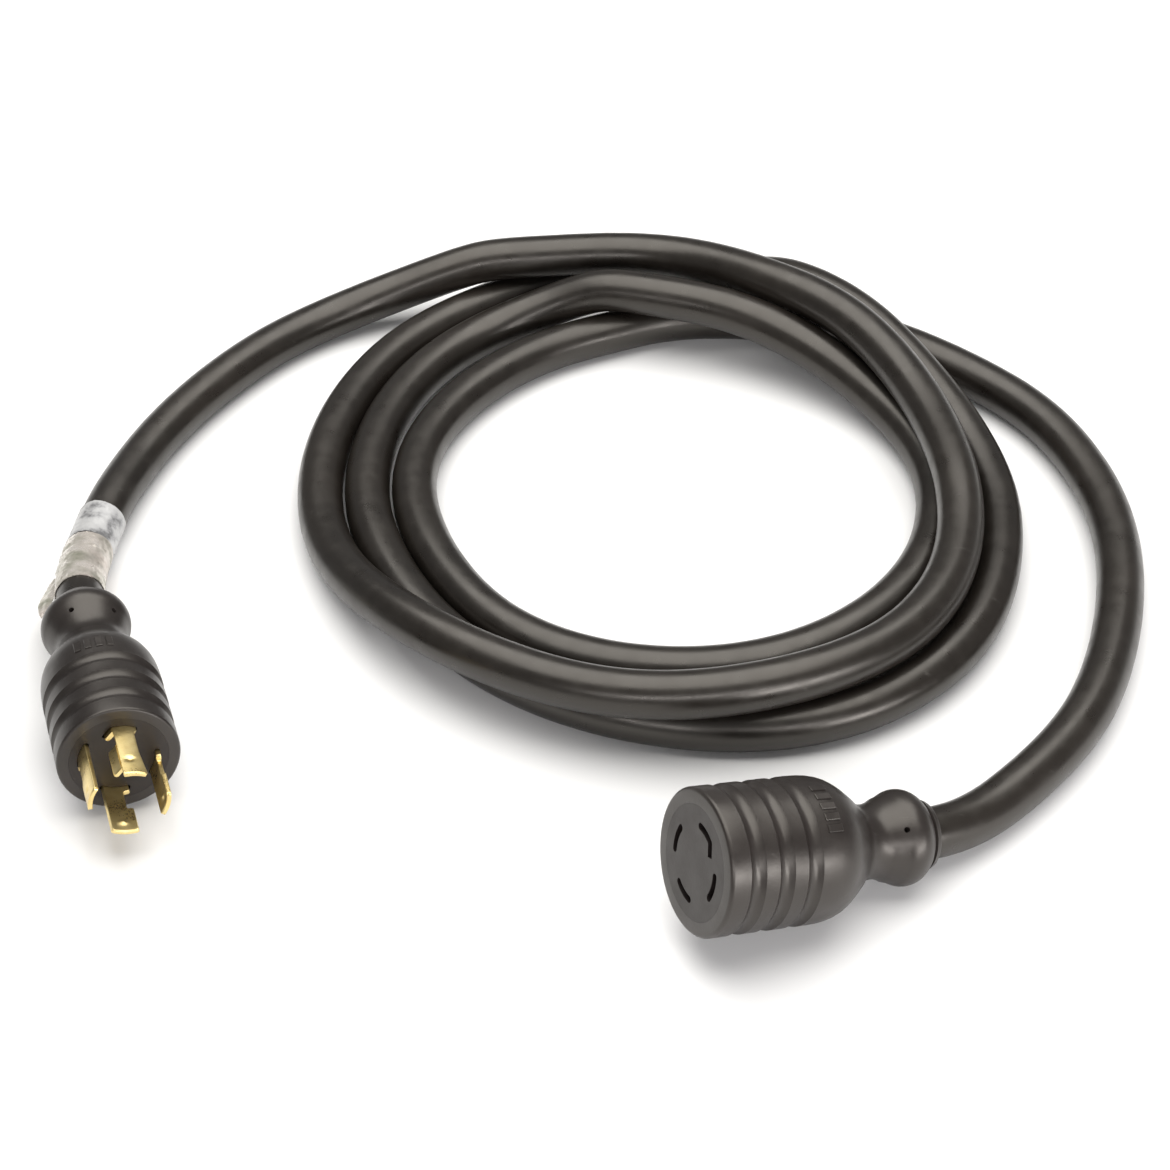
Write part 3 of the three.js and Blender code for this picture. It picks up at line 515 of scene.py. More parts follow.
def paper_material(name):
    """White vinyl wrap label: creases, grey smudges, no print."""
    mat, nt, bsdf = nodes_of(name)
    smudge = noise_tex(nt, 150.0, 4.0, 0.6)
    col = ramp(nt, smudge, [(0.34, (0.12, 0.12, 0.123, 1)), (0.44, (0.27, 0.27, 0.273, 1)), (0.52, (0.38, 0.38, 0.38, 1)), (0.68, (0.45, 0.45, 0.447, 1))])
    nt.links.new(col, bsdf.inputs["Base Color"])
    nt.links.new(maprange(nt, smudge, 0.42, 0.28, 0.3, 0.7), bsdf.inputs["Roughness"])
    bsdf.inputs["Coat Weight"].default_value = 0.25
    bsdf.inputs["Coat Roughness"].default_value = 0.25
    bump(nt, bsdf, noise_tex(nt, 260.0, 3.0), 0.25, 0.0004)
    return mat


def foil_material(name):
    """Crinkled silver label film, with a faint drift of colour."""
    mat, nt, bsdf = nodes_of(name)
    bsdf.inputs["Metallic"].default_value = 0.55
    n = noise_tex(nt, 120.0, 3.0, 0.6)
    warm = noise_tex(nt, 60.0, 2.0)
    col = ramp(nt, n, [(0.32, (0.16, 0.145, 0.115, 1)), (0.46, (0.40, 0.365, 0.32, 1)), (0.60, (0.66, 0.62, 0.57, 1)), (0.75, (0.78, 0.75, 0.71, 1))])
    tint = ramp(nt, warm, [(0.35, (0.42, 0.45, 0.34, 1)), (0.5, (0.66, 0.62, 0.57, 1)), (0.65, (0.62, 0.50, 0.44, 1))])
    nt.links.new(mix_rgb(nt, 0.35, col, tint), bsdf.inputs["Base Color"])
    nt.links.new(maprange(nt, n, 0.42, 0.22, 0.3, 0.7), bsdf.inputs["Roughness"])
    crinkle = add(nt, "ShaderNodeTexVoronoi")
    crinkle.feature = "F1"
    crinkle.inputs["Scale"].default_value = 240.0
    nt.links.new(coords(nt), crinkle.inputs["Vector"])
    bump(nt, bsdf, crinkle.outputs["Distance"], 0.35, 0.0006)
    return mat


M_CABLE = rubber("cable_rubber", (0.0062, 0.0049, 0.0040, 1), (0.0125, 0.0100, 0.0080, 1), 0.26, 0.39, 0.62, 0.30)
M_MOULD = rubber("moulded_rubber", (0.0112, 0.0088, 0.0080, 1), (0.0190, 0.0155, 0.0142, 1), 0.30, 0.42, 0.58, 0.45)
M_FACE = rubber("moulded_face", (0.0090, 0.0066, 0.0062, 1), (0.0140, 0.0108, 0.0104, 1), 0.34, 0.46, 0.44, 0.35)
M_HARD = rubber("hard_plastic", (0.026, 0.0220, 0.0210, 1), (0.038, 0.0325, 0.0312, 1), 0.36, 0.48, 0.5, 0.30)
M_BRASS = brass_material("brass")
M_COPPER = wire_material("copper", (0.80, 0.42, 0.24), True)
M_WIRE = {
    "black": wire_material("wire_black", (0.02, 0.02, 0.02)),
    "red": wire_material("wire_red", (0.50, 0.04, 0.03)),
    "white": wire_material("wire_white", (0.75, 0.74, 0.71)),
    "green": wire_material("wire_green", (0.05, 0.30, 0.10)),
}
M_PAPER = paper_material("label_paper")
M_FOIL = foil_material("label_foil")

# ------------------------------------------------- finishes on the kept CAD nodes
for name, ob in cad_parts.items():
    mat = None
    if name.startswith("conductor_") or "_lead_" in name:
        for w in M_WIRE:
            if "_" + w in name:
                mat = M_WIRE[w]
    elif "_copper_" in name:
        mat = M_COPPER
    elif name.startswith(("contact_", "blade_")):
        mat = M_BRASS
    elif name.endswith("_core"):
        mat = M_HARD
    elif name.startswith("cable_jacket"):
        mat = M_CABLE
    elif name.endswith("overmould"):
        mat = M_MOULD
    elif name == "label_white":
        mat = M_PAPER
    elif name == "label_foil":
        mat = M_FOIL
    ob.data.materials.clear()
    ob.data.materials.append(mat)

# -------------------------------------------------------------------- the cable
SIDES = 48
STEP = 3
C_END = TOTAL  # connector depth d is at arc coordinate C_END - d


seg = jacket("cable_jacket_plug_end", 66, 220, STEP, SIDES)
set_material(seg, M_CABLE)
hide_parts("cable_jacket_plug_tail_b")
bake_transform(seg)

seg = jacket("cable_jacket_plug_bend", 220, 300, STEP, SIDES)
set_material(seg, M_CABLE)
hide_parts("cable_jacket_plug_tail_a")
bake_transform(seg)

seg = jacket("cable_jacket_loops", 300, C_END - 230, STEP, SIDES)
set_material(seg, M_CABLE)
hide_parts("cable_jacket_coil")
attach(seg, "coil")

seg = jacket("cable_jacket_connector_bend", C_END - 230, C_END - 157, STEP, SIDES)
set_material(seg, M_CABLE)
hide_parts("cable_jacket_conn_tail_a")
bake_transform(seg)

seg = jacket("cable_jacket_connector_end", C_END - 157, C_END - 66, STEP, SIDES)
set_material(seg, M_CABLE)
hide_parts("cable_jacket_conn_tail_b")
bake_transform(seg)


# --------------------------------------------------------- conductors in the cable
def conductor(name, s0, s1, k, radius=2.0, pitch=3.45, lay=0.018, sides=8, step=9):
    ss = np.unique(np.round(np.append(np.arange(s0, s1, step), s1)))
    verts, faces = [], []
    for s in ss:
        c, t, n, b = station(s)
        a = k * math.pi / 2 + math.pi / 4 + lay * s
        o = c + pitch * (math.cos(a) * n + math.sin(a) * b)
        for j in range(sides):
            g = 2 * math.pi * j / sides
            verts.append(o + radius * (math.cos(g) * n + math.sin(g) * b))
    m = len(ss)
    for i in range(m - 1):
        for j in range(sides):
            j2 = (j + 1) % sides
            faces.append((i * sides + j, i * sides + j2, (i + 1) * sides + j2, (i + 1) * sides + j))
    faces.append(tuple(range(sides))[::-1])
    faces.append(tuple((m - 1) * sides + j for j in range(sides)))
    return mesh_object(name, np.array(verts) * MM, faces, sharp=60)


RUNS = (
    ("plug_tail_b", 69, 186),
    ("plug_tail_a", 198, 242),
    ("coil", 254, C_END - 191),
    ("conn_tail_a", C_END - 179, C_END - 135),
    ("conn_tail_b", C_END - 123, C_END - 69),
)
for body, a, b in RUNS:
    for k, w in enumerate(("black", "red", "white", "green")):
        ob = conductor("wire_" + w + "_" + body, a, b, k)
        set_material(ob, M_WIRE[w])
        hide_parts("conductor_" + w + "_" + body)
        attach(ob, body)


# ------------------------------------------------------------------ end mouldings
def outer_profile(R):
    """(radius, depth behind the face) of the moulding's outside, from the rim back."""
    pts = []
    f = 1.5 if R > 23 else 1.1
    for i in range(7):
        a = math.pi / 2 * i / 6
        pts.append((R - f + f * math.sin(a), f - f * math.cos(a)))
    for c in VALLEYS:
        deep = VALLEY_DEEP
        n = 14
        soft = 0.45
        pts.append((R - 0.02, c - VALLEY_HALF - soft - 0.5))
        for i in range(n + 1):
            t = -1 + 2 * i / n
            # round-bottomed valley with small rounded shoulders
            r = R - deep * (1 - abs(t) ** 2.2)
            pts.append((r, c + VALLEY_HALF * t))
        pts.append((R - 0.02, c + VALLEY_HALF + 0.5))
    pts += [(R, 36.5), (R - 0.05, 38.5), (R - 0.15, 41.0)]
    # shoulder: a big quarter curve from the collar down to the neck
    nr = NECK_R
    body = [
        (R - 0.45, 43.5), (R - 1.0, 46.0), (R - 1.9, 48.4), (R - 3.1, 50.6), (R - 4.6, 52.8),
        (R - 6.3, 54.9), (R - 8.0, 57.0),
    ]
    if R < 23:
        body = [
            (R - 0.35, 43.5), (R - 0.8, 46.0), (R - 1.5, 48.2), (R - 2.5, 50.4), (R - 3.7, 52.4),
            (R - 5.1, 54.6), (R - 6.4, 56.6),
        ]
    pts += body
    pts += [
        (nr + 1.9, 59.2), (nr + 0.8, 61.2), (nr + 0.2, 63.2), (nr, 65.2), (nr + 0.15, 67.2),
        (nr + 0.75, 69.2), (nr + 1.7, 71.2),
    ]
    # knob
    kc, kr = 78.6, KNOB_R
    for i in range(1, 13):
        a = math.radians(-44 + i * 9.2)
        pts.append((kr - 8.4 + 8.4 * math.cos(a), kc + 8.4 * math.sin(a)))
    pts += [(12.5, 86.9), (12.15, 87.7), (12.0, 88.3), (11.7, 88.75), (11.2, 88.95), (9.6, 88.95)]
    return pts


def moulding(name, R, core_r, face, axis, seg):
    """Ribbed barrel, collar, neck and knob as one closed turned shell."""
    outer = outer_profile(R)
    prof = [(core_r + 0.05, 0.0)] + outer
    prof += [(9.18, 88.6), (9.15, 62.0), (10.5, 58.0), (core_r + 0.05, 46.0)]
    n = len(prof)
    verts, faces = [], []
    for k in range(seg):
        a = 2 * math.pi * k / seg
        for r, d in prof:
            verts.append((r * math.cos(a), r * math.sin(a), -d))
    for k in range(seg):
        k2 = (k + 1) % seg
        for i in range(n):
            j = (i + 1) % n
            faces.append((k * n + i, k2 * n + i, k2 * n + j, k * n + j))
    return mesh_object(name, to_world(verts, face, axis), faces, sharp=33)


def boolean(ob, cutter, op="DIFFERENCE"):
    m = ob.modifiers.new("cut", "BOOLEAN")
    m.operation = op
    m.solver = "EXACT"
    m.object = cutter
    bpy.context.view_layer.update()
    dg = bpy.context.evaluated_depsgraph_get()
    me = bpy.data.meshes.new_from_object(ob.evaluated_get(dg))
    ob.modifiers.clear()
    old = ob.data
    mats = list(old.materials)
    ob.data = me
    ob.data.name = ob.name
    me.materials.clear()
    for mt in mats:
        me.materials.append(mt)
    bpy.data.meshes.remove(old)
    bpy.data.objects.remove(cutter)
    me.shade_smooth()
    me.set_sharp_from_angle(angle=math.radians(33))
    return ob


def prism_mesh(name, outline, z0, z1, face, axis):
    n = len(outline)
    verts = [(x, y, z0) for x, y in outline] + [(x, y, z1) for x, y in outline]
    faces = [tuple(range(n))[::-1], tuple(n + i for i in range(n))]
    for i in range(n):
        j = (i + 1) % n
        faces.append((i, j, n + j, n + i))
    return mesh_object(name, to_world(verts, face, axis), faces, sharp=40)


def arc_outline(radius, thick, u0, u1, a0, steps=14, round_ends=True):
    """Curved slot outline with round ends."""
    out = []
    for i in range(steps + 1):
        a = a0 + (u0 + (u1 - u0) * i / steps) / radius
        out.append(((radius + thick / 2) * math.cos(a), (radius + thick / 2) * math.sin(a)))
    if round_ends:
        a = a0 + u1 / radius
        cx, cy = radius * math.cos(a), radius * math.sin(a)
        for i in range(1, 6):
            g = a + math.pi * i / 6
            out.append((cx + thick / 2 * math.cos(g), cy + thick / 2 * math.sin(g)))
    for i in range(steps, -1, -1):
        a = a0 + (u0 + (u1 - u0) * i / steps) / radius
        out.append(((radius - thick / 2) * math.cos(a), (radius - thick / 2) * math.sin(a)))
    if round_ends:
        a = a0 + u0 / radius
        cx, cy = radius * math.cos(a), radius * math.sin(a)
        for i in range(1, 6):
            g = a + math.pi + math.pi * i / 6
            out.append((cx + thick / 2 * math.cos(g), cy + thick / 2 * math.sin(g)))
    return out


def pole_angles(earth_at, sense):
    return {k: math.radians(earth_at + sense * v) for k, v in POLE_OFFSETS.items()}


def pin_hole(ob, face, axis, angle, depth, r=1.0, deep=4.0, rim=KNOB_R):
    """Small round blind hole straight into the knob."""
    n = 20
    ca, sa = math.cos(angle), math.sin(angle)
    verts = []
    for rad in (rim - deep, rim + 3.0):
        for i in range(n):
            g = 2 * math.pi * i / n
            du, dz = r * math.cos(g), r * math.sin(g)
            verts.append((rad * ca - du * sa, rad * sa + du * ca, -depth + dz))
    faces = [tuple(range(n)), tuple(n + i for i in range(n))]
    for i in range(n):
        j = (i + 1) % n
        faces.append((i, j, n + j, n + i))
    c = mesh_object("pin_cut", to_world(verts, face, axis), faces)
    return boolean(ob, c)


def relief(ob, face, axis, R, start_angle, sense, widths, depth0=37.6, height=0.42):
    """A row of plain raised pads round the collar."""
    strips = []
    a = start_angle
    for w in widths:
        strips.append((a + sense * 0.5 * w / R, w, depth0, 5.4))
        a += sense * (w + 1.5) / R
    n = 5
    for mid, w, d0, h in strips:
        loops = []
        for lift, shrink in ((-1.3, 0.0), (height * 0.65, 0.0), (height, 0.2)):
            row = []
            us = [(-w / 2 + shrink) + (w - 2 * shrink) * i / n for i in range(n + 1)]
            near, far = d0 + shrink, d0 + h - shrink
            for d, seq in ((near, us), (far, us[::-1])):
                sink = 0.45 * max(0.0, (d - 41.0) / 2.5) ** 1.5 * 0.5
                for u in seq:
                    g = mid + u / R
                    rr = R + lift - sink
                    row.append((rr * math.cos(g), rr * math.sin(g), -d))
            loops.append(row)
        m = len(loops[0])
        verts = [p for row in loops for p in row]
        faces = [tuple(range(m))[::-1], tuple(2 * m + i for i in range(m))]
        for k in range(2):
            for i in range(m):
                j = (i + 1) % m
                faces.append((k * m + i, k * m + j, (k + 1) * m + j, (k + 1) * m + i))
        boolean(ob, mesh_object("relief_bar", to_world(verts, face, axis), faces), "UNION")
    return ob


SEG = 128
plug_mould = moulding("plug_moulding", PLUG_R, PLUG_CORE_R, PLUG_FACE, PLUG_AXIS, SEG)
set_material(plug_mould, M_MOULD)
conn_mould = moulding("connector_moulding", CONN_R, CONN_CORE_R, CONN_FACE, CONN_AXIS, SEG)
set_material(conn_mould, M_MOULD)
for angle in (108.0, 44.0):
    pin_hole(plug_mould, PLUG_FACE, PLUG_AXIS, math.radians(angle), 72.4)
for angle in (53.0, 233.0):
    pin_hole(conn_mould, CONN_FACE, CONN_AXIS, math.radians(angle), 73.4)
relief(conn_mould, CONN_FACE, CONN_AXIS, CONN_R, math.radians(98), -1, (2.6, 2.6, 2.6, 2.6, 2.6))
relief(plug_mould, PLUG_FACE, PLUG_AXIS, PLUG_R, math.radians(110), -1, (2.4, 2.4, 2.4, 2.4))
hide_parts("plug_overmould")
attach(plug_mould, "plug")
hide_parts("connector_overmould")
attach(conn_mould, "connector")


def flange_outline(a, sense, end, extra=0.0, radius=BLADE_CIRCLE_R):
    e = a + sense * end / radius
    c = np.array([radius * math.cos(e), radius * math.sin(e)])
    g = e + sense * math.radians(90 + FLANGE_FOLD)
    d = np.array([math.cos(g), math.sin(g)])
    n = np.array([-d[1], d[0]]) * (BLADE_T / 2 + extra)
    p0, p1 = c - 0.5 * d, c + (FLANGE_L + extra) * d
    return [tuple(p0 - n), tuple(p1 - n), tuple(p1 + n), tuple(p0 + n)]


def turned_block(name, R, depth, face, axis, seg, chamfer=0.0):
    prof = [(0.0, 0.0), (R - chamfer, 0.0), (R, chamfer if chamfer else 0.0001), (R, depth), (0.0, depth)]
    verts, faces = [(0, 0, 0), (0, 0, -depth)], []
    for k in range(seg):
        a = 2 * math.pi * k / seg
        for r, d in prof[1:4]:
            verts.append((r * math.cos(a), r * math.sin(a), -d))
    for k in range(seg):
        k2 = (k + 1) % seg
        b, b2 = 2 + 3 * k, 2 + 3 * k2
        faces.append((0, b, b2))
        faces.append((b, b + 1, b2 + 1, b2))
        faces.append((b + 1, b + 2, b2 + 2, b2 + 1))
        faces.append((1, b2 + 2, b + 2))
    return mesh_object(name, to_world(verts, face, axis), faces, sharp=33)


def core(name, R, face, axis, at, sense, widths, thick, radius, hook):
    ob = turned_block(name, R, 34.0, face, axis, SEG)
    for pole, a in at.items():
        hw = widths[pole] / 2 - thick / 2
        cut = prism_mesh("cut", arc_outline(radius, thick, -hw, hw, a), -12.6, 1.0, face, axis)
        boolean(ob, cut)
        if pole == "earth":
            cut = prism_mesh("cut", flange_outline(a, sense, EARTH_W / 2, hook), -12.97, 1.3, face, axis)
            boolean(ob, cut)
        ring = [
            (11.6 * math.cos(a) + 3.7 * math.cos(g), 11.6 * math.sin(a) + 3.7 * math.sin(g))
            for g in [2 * math.pi * i / 24 for i in range(24)]
        ]
        boolean(ob, prism_mesh("cut", ring, -35.6, -9.43, face, axis))
    return ob


plug_at = pole_angles(PLUG_EARTH_AT, 1)
conn_at = pole_angles(CONN_EARTH_AT, -1)
blade_w = {k: (EARTH_W if k == "earth" else BLADE_W) + 0.5 + 1.0 for k in plug_at}
plug_core = core("plug_insert", PLUG_CORE_R, PLUG_FACE, PLUG_AXIS, plug_at, 1, blade_w, BLADE_T + 0.35, BLADE_CIRCLE_R, 0.2)
set_material(plug_core, M_FACE)
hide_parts("plug_core")
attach(plug_core, "plug")
conn_core = core("connector_insert", CONN_CORE_R, CONN_FACE, CONN_AXIS, conn_at, -1, SLOT_W, SLOT_T, SLOT_R, 0.45)
set_material(conn_core, M_FACE)
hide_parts("connector_core")
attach(conn_core, "connector")


# ----------------------------------------------------------------------- blades
def blade_section(a, u0, u1, z, inset, R=BLADE_CIRCLE_R, T=BLADE_T, n=12, corner=0.28):
    """Closed ring of points at height z: a curved bar with rounded edges."""
    t = T / 2 - inset
    u0, u1 = u0 + inset, u1 - inset
    c = min(corner, t * 0.9)
    ring = []

    def at(u, r):
        g = a + u / R
        return ((R + r) * math.cos(g), (R + r) * math.sin(g), z)

    for i in range(n + 1):
        ring.append(at(u0 + c + (u1 - u0 - 2 * c) * i / n, t))
    for i in range(1, 5):
        g = math.pi / 2 * i / 4
        ring.append(at(u1 - c + c * math.sin(g), t - c + c * math.cos(g)))
    for i in range(1, 5):
        g = math.pi / 2 * i / 4
        ring.append(at(u1 - c + c * math.cos(g), -t + c - c * math.sin(g)))
    for i in range(1, n + 1):
        ring.append(at(u1 - c - (u1 - u0 - 2 * c) * i / n, -t))
    for i in range(1, 5):
        g = math.pi / 2 * i / 4
        ring.append(at(u0 + c - c * math.sin(g), -t + c - c * math.cos(g)))
    for i in range(1, 4):
        g = math.pi / 2 * i / 4
        ring.append(at(u0 + c - c * math.cos(g), t - c + c * math.sin(g)))
    return ring


def loft(name, rings, face, axis, sharp=40):
    n = len(rings[0])
    verts = [p for r in rings for p in r]
    faces = []
    for i in range(len(rings) - 1):
        for k in range(n):
            k2 = (k + 1) % n
            faces.append((i * n + k, i * n + k2, (i + 1) * n + k2, (i + 1) * n + k))
    faces.append(tuple(range(n))[::-1])
    faces.append(tuple((len(rings) - 1) * n + k for k in range(n)))
    return mesh_object(name, to_world(verts, face, axis), faces, sharp=sharp)


def edge_at(z, kind):
    """(u0, u1) of the blade at height z."""
    if kind == "earth":
        h = EARTH_W / 2
        w = 0.0
        if z > 1.8:
            k = min(1.0, (z - 1.8) / 1.2)
            w = 1.1 * k
        if z > 14:
            w = 1.1 - 1.2 * min(1.0, (z - 14) / 12.0)
        return -h + w, h - 0.25 * min(1.0, max(0.0, (z - 1.0) / 3.0))
    h = BLADE_W / 2
    u1 = h
    z0, z1 = NOTCH_Z
    if z0 <= z <= z1:
        # round corners in and out of the notch
        rin = 0.9
        d = NOTCH_DEPTH
        a = min(z - z0, z1 - z)
        if a < rin:
            u1 = h - d + (rin - math.sqrt(max(0.0, rin**2 - (rin - a) ** 2)))
            u1 = min(u1, h)
        else:
            u1 = h - d
    elif z > z1:
        r = 1.0
        a = z - z1
        if a < r:
            u1 = h - (r - math.sqrt(max(0.0, r**2 - (r - a) ** 2)))
    elif z > z0 - 0.5:
        a = z0 - z
        u1 = h - (0.5 - math.sqrt(max(0.0, 0.25 - (0.5 - a) ** 2)))
    return -h, u1


def blade(name, a, kind, out, dimple_z, dimple_side):
    zs = [-11.5, -6.0, 0.0, 1.0, 1.8]
    zs += list(np.arange(2.1, 4.0, 0.16)) + list(np.arange(4.0, 11.0, 0.5)) + list(np.arange(11.0, 13.6, 0.16))
    zs += list(np.arange(13.6, out - 0.9, 0.4))
    rings = []
    for z in sorted(set(round(float(v), 3) for v in zs)):
        u0, u1 = edge_at(z, kind)
        rings.append(blade_section(a, u0, u1, z, 0.0))
    # rounded tip: the section shrinks towards the end
    r = 0.8
    for i in range(0, 7):
        g = math.pi / 2 * i / 6
        z = out - r + r * math.sin(g)
        u0, u1 = edge_at(z, kind)
        ins = 0.42 * (1 - math.cos(g))
        corner = 0.9 * (1 - math.cos(g))
        rings.append(blade_section(a, u0 + corner, u1 - corner, z, ins))
    # dimple pressed into one side, standing out on the other
    um = -0.4 if kind != "earth" else 0.7
    out_rings = []
    for ring in rings:
        new = []
        for x, y, z in ring:
            g = math.atan2(y, x)
            u = ((g - a + math.pi) % (2 * math.pi) - math.pi) * BLADE_CIRCLE_R
            d2 = (u - um) ** 2 + (z - dimple_z) ** 2
            k = 0.62 * math.exp(-d2 / 1.3) * dimple_side
            rr = math.hypot(x, y) + k
            new.append((rr * math.cos(g), rr * math.sin(g), z))
        out_rings.append(new)
    ob = loft(name, out_rings, PLUG_FACE, PLUG_AXIS)
    return ob


def flange(a, z0, z1, taper):
    """Folded edge of the earth blade, as a rounded strip joined to the bar."""
    e = a + (EARTH_W / 2 - 0.35) / BLADE_CIRCLE_R
    c = np.array([BLADE_CIRCLE_R * math.cos(e), BLADE_CIRCLE_R * math.sin(e)])
    g = e + math.radians(90 + FLANGE_FOLD)
    d = np.array([math.cos(g), math.sin(g)])
    n = np.array([-d[1], d[0]])
    T = BLADE_T
    zs = [z0, z0 + 0.15, z0 + 0.4, z0 + 0.9] + list(np.linspace(z0 + 1.4, z1 - 1.4, 14)) + [z1 - 0.9, z1 - 0.4, z1 - 0.15, z1]
    if z1 - z0 < 3.5:
        zs = list(np.linspace(z0, z1, 8))
    rings = []
    for z in zs:
        e0 = min(z - z0, z1 - z)
        L = FLANGE_L
        rr = 1.3
        if taper and e0 < rr:
            L = FLANGE_L - (rr - math.sqrt(max(0.0, rr**2 - (rr - e0) ** 2)))
        if not taper and z1 - z < 0.8:
            L = FLANGE_L - (0.8 - math.sqrt(max(0.0, 0.64 - (0.8 - (z1 - z)) ** 2)))
        ins = 0.25 * max(0.0, 1 - e0 / 0.3) if taper else 0.0
        t = T / 2 - ins
        ring = []
        m = 6
        for i in range(m + 1):
            ring.append(tuple(c + d * (-0.3 + (L - t + 0.3) * i / m) + n * t) + (z,))
        for i in range(1, 8):
            h = math.pi * i / 8
            ring.append(tuple(c + d * (L - t + t * math.sin(h)) + n * t * math.cos(h)) + (z,))
        for i in range(m + 1):
            ring.append(tuple(c + d * (L - t - (L - t + 0.3) * i / m) - n * t) + (z,))
        rings.append(ring)
    return loft("flange_part", rings, PLUG_FACE, PLUG_AXIS)


def barrel(a):
    """Open crimp barrel behind the blade."""
    n = 32
    cx, cy = 11.6 * math.cos(a), 11.6 * math.sin(a)
    prof = [(3.2, -10.0), (3.2, -31.6), (2.9, -32.0), (1.9, -32.0), (1.9, -10.0)]
    verts, faces = [], []
    for k in range(n):
        g = 2 * math.pi * k / n
        for r, z in prof:
            verts.append((cx + r * math.cos(g), cy + r * math.sin(g), z))
    m = len(prof)
    for k in range(n):
        k2 = (k + 1) % n
        for i in range(m):
            j = (i + 1) % m
            faces.append((k * m + i, k2 * m + i, k2 * m + j, k * m + j))
    return mesh_object("barrel_part", to_world(verts, PLUG_FACE, PLUG_AXIS), faces)


for pole, a in plug_at.items():
    kind = "earth" if pole == "earth" else "line"
    out = EARTH_OUT if pole == "earth" else BLADE_OUT
    ob = blade("brass_blade_" + pole, a, kind, out, 18.2 if pole == "earth" else 19.4, -1)
    set_material(ob, M_BRASS)
    if pole == "earth":
        boolean(ob, flange(a, FLANGE_Z[0], FLANGE_Z[1], True), "UNION")
        boolean(ob, flange(a, -2.0, FLANGE_STUB + 0.5, False), "UNION")
    boolean(ob, barrel(a), "UNION")
    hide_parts("blade_" + pole)
    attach(ob, "plug")


# ----------------------------------------------------------------------- labels
def wrap(name, s0, s1, thick, crease, seed, edge_wave=0.0, step=0.7, sides=112):
    """A label wrapped round the cable: a thin closed sleeve with creases."""
    rows = int((s1 - s0) / step) + 1
    outer, inner = [], []
    for i in range(rows):
        v = i / (rows - 1)
        for k in range(sides):
            g = 2 * math.pi * k / sides
            wave = edge_wave * (math.sin(g * 2 + seed) + 0.5 * math.sin(g * 5 + 2 * seed))
            s = s0 + (s1 - s0) * v + wave * (1 - min(1.0, 6 * min(v, 1 - v)))
            f = (s - _S[0])
            i0 = int(math.floor(f))
            w = f - i0
            c = _C[i0] * (1 - w) + _C[i0 + 1] * w
            n = _N[i0] * (1 - w) + _N[i0 + 1] * w
            b = _B[i0] * (1 - w) + _B[i0 + 1] * w
            d = math.cos(g) * n + math.sin(g) * b
            q = Vector((g * 2.6 + seed * 3.1, (s - s0) * 0.16, seed))
            q2 = Vector((g * 6.0 + seed, (s - s0) * 0.55, seed * 2))
            cr = noise.noise(q) * 0.6 + noise.noise(q2) * 0.35
            ridge = max(0.0, 0.12 - abs(noise.noise(q * 1.7 + Vector((7, 3, 1))))) / 0.12
            lift = crease * (0.5 + cr) + crease * 0.8 * ridge**2
            r0 = CABLE_R + 0.16
            r1 = r0 + thick + max(0.0, lift)
            outer.append(c + d * r1)
            inner.append(c + d * r0)
    verts = outer + inner
    off = rows * sides
    faces = []
    for i in range(rows - 1):
        for k in range(sides):
            k2 = (k + 1) % sides
            a0, a1, b1, b0 = i * sides + k, i * sides + k2, (i + 1) * sides + k2, (i + 1) * sides + k
            faces.append((a0, a1, b1, b0))
            faces.append((off + a1, off + a0, off + b0, off + b1))
    for i in (0, rows - 1):
        for k in range(sides):
            k2 = (k + 1) % sides
            faces.append((i * sides + k, i * sides + k2, off + i * sides + k2, off + i * sides + k))
    return mesh_object(name, np.array(verts) * MM, faces, sharp=45)


foil = wrap("label_foil_wrap", 101, 136.5, 0.10, 0.34, 2.3, 0.35)
set_material(foil, M_FOIL)
white = wrap("label_white_wrap", 136.9, 158.5, 0.10, 0.20, 5.1, 0.25)
set_material(white, M_PAPER)


def flag():
    """Folded-back end of the foil label, standing off the left side of the cable."""
    rows, cols = 34, 22
    top, bottom = [], []
    for i in range(rows):
        v = i / (rows - 1)
        s = 91.0 + 25.0 * v
        c, t, n, b = station(s)
        side = np.cross([0, 0, 1.0], t)
        side /= np.linalg.norm(side)
        up = np.cross(t, side)
        # tangent runs away from the plug; left of the cable is +side
        wide = [15.2, 15.8, 16.0, 14.6, 12.9, 12.2]
        w = np.interp(v, [0, 0.12, 0.35, 0.6, 0.85, 1.0], wide)
        lo = np.interp(v, [0, 0.35, 0.5, 1.0], [12.5, 9.9, 9.0, 8.6])
        for j in range(cols):
            u = j / (cols - 1)
            x = lo + (w - lo) * u
            h = 0.9 * math.sin(u * 3.0 + v * 2.0) * u + 0.5 * noise.noise(Vector((u * 3, v * 4, 1.7)))
            h += 0.8 * (1 - u) - 1.2 * u
            p = c + side * x * 1.0 + up * h
            top.append(p + up * 0.11)
            bottom.append(p - up * 0.11)
    verts = top + bottom
    off = rows * cols
    faces = []
    for i in range(rows - 1):
        for j in range(cols - 1):
            a, b2, c2, d = i * cols + j, i * cols + j + 1, (i + 1) * cols + j + 1, (i + 1) * cols + j
            faces.append((a, b2, c2, d))
            faces.append((off + a, off + d, off + c2, off + b2))
    rim = [j for j in range(cols)] + [i * cols + cols - 1 for i in range(1, rows)]
    rim += [(rows - 1) * cols + j for j in range(cols - 2, -1, -1)] + [i * cols for i in range(rows - 2, 0, -1)]
    for k in range(len(rim)):
        a, b2 = rim[k], rim[(k + 1) % len(rim)]
        faces.append((a, b2, off + b2, off + a))
    return mesh_object("label_foil_flag", np.array(verts) * MM, faces, sharp=50)


fl = flag()
set_material(fl, M_FOIL)
for ob in (foil, fl):
    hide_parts("label_foil")
    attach(ob, "plug_tail_b")
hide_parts("label_white")
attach(white, "plug_tail_b")

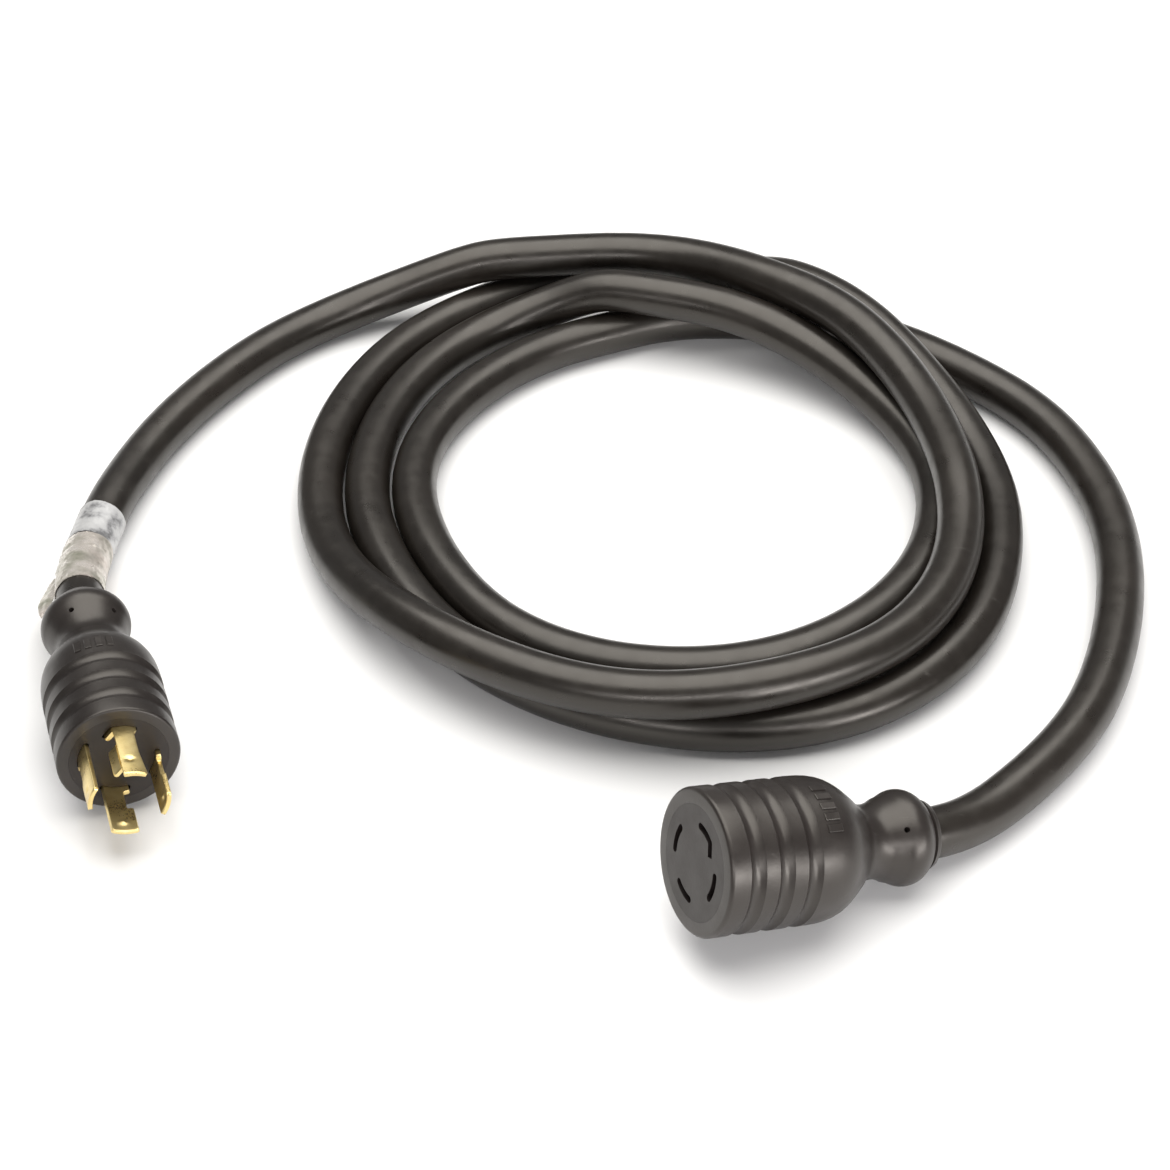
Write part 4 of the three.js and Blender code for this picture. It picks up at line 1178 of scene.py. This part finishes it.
# ----------------------------------------------------------------- floor, lights
floor_me = bpy.data.meshes.new("floor")
floor_me.from_pydata([(-1.6, -1.6, 0), (1.6, -1.6, 0), (1.6, 1.6, 0), (-1.6, 1.6, 0)], [], [(0, 1, 2, 3)])
floor = bpy.data.objects.new("floor", floor_me)
floor.location = (0, 0, -0.0003)
bpy.context.scene.collection.objects.link(floor)
fm, fnt, fb = nodes_of("floor")
fn = noise_tex(fnt, 3.0, 2.0)
fnt.links.new(ramp(fnt, fn, [(0.0, grey(0.80)), (1.0, grey(0.82))]), fb.inputs["Base Color"])
fb.inputs["Roughness"].default_value = 0.85
fb.inputs["Specular IOR Level"].default_value = 0.2
floor_me.materials.append(fm)

scene = bpy.context.scene
world = bpy.data.worlds.new("studio")
scene.world = world
world.use_nodes = True
world.node_tree.nodes["Background"].inputs["Color"].default_value = (1.0, 1.0, 1.0, 1)
# the room lights the cord softly, and is plain white where the camera sees past the floor
wt = world.node_tree
path = wt.nodes.new("ShaderNodeLightPath")
wt.links.new(
    maprange(wt, path.outputs["Is Camera Ray"], 0.22, 1.0),
    wt.nodes["Background"].inputs["Strength"],
)


def area(name, loc, target, size, size_y, power, colour=(1, 1, 1)):
    light = bpy.data.lights.new(name, "AREA")
    light.shape = "RECTANGLE"
    light.size, light.size_y = size, size_y
    light.energy = power
    light.color = colour
    ob = bpy.data.objects.new(name, light)
    scene.collection.objects.link(ob)
    ob.location = loc
    ob.rotation_mode = "QUATERNION"
    ob.rotation_quaternion = (Vector(target) - Vector(loc)).to_track_quat("-Z", "Y")
    return ob


area("overhead", (0.0, 0.30, 1.25), (0, 0.25, 0), 1.8, 1.7, 36.0, (1.0, 0.985, 0.955))
area("front_strip", (0.1, -1.35, 0.68), (0, 0, 0.02), 1.8, 0.16, 9.0, (1.0, 0.98, 0.99))
area("low_side", (0.86, -0.98, 0.22), (0.03, -0.19, 0.03), 0.9, 0.26, 9.0, (1.0, 0.98, 0.985))


# ----------------------------------------------------------------------- camera
cam = bpy.data.cameras.new("camera")
cam.sensor_width = 36.0
cam.sensor_fit = "AUTO"
cam.lens = 82.88
cam.clip_start, cam.clip_end = 0.05, 50.0
camera = bpy.data.objects.new("camera", cam)
scene.collection.objects.link(camera)
camera.location = (-0.003605, -0.810985, 0.6652)
camera.rotation_euler = (math.radians(90.0 - 39.5), 0.0, 0.0)
scene.camera = camera

scene.view_settings.view_transform = "Standard"
scene.view_settings.look = "None"
scene.view_settings.exposure = 0.0
scene.view_settings.gamma = 1.0

bpy.context.view_layer.update()
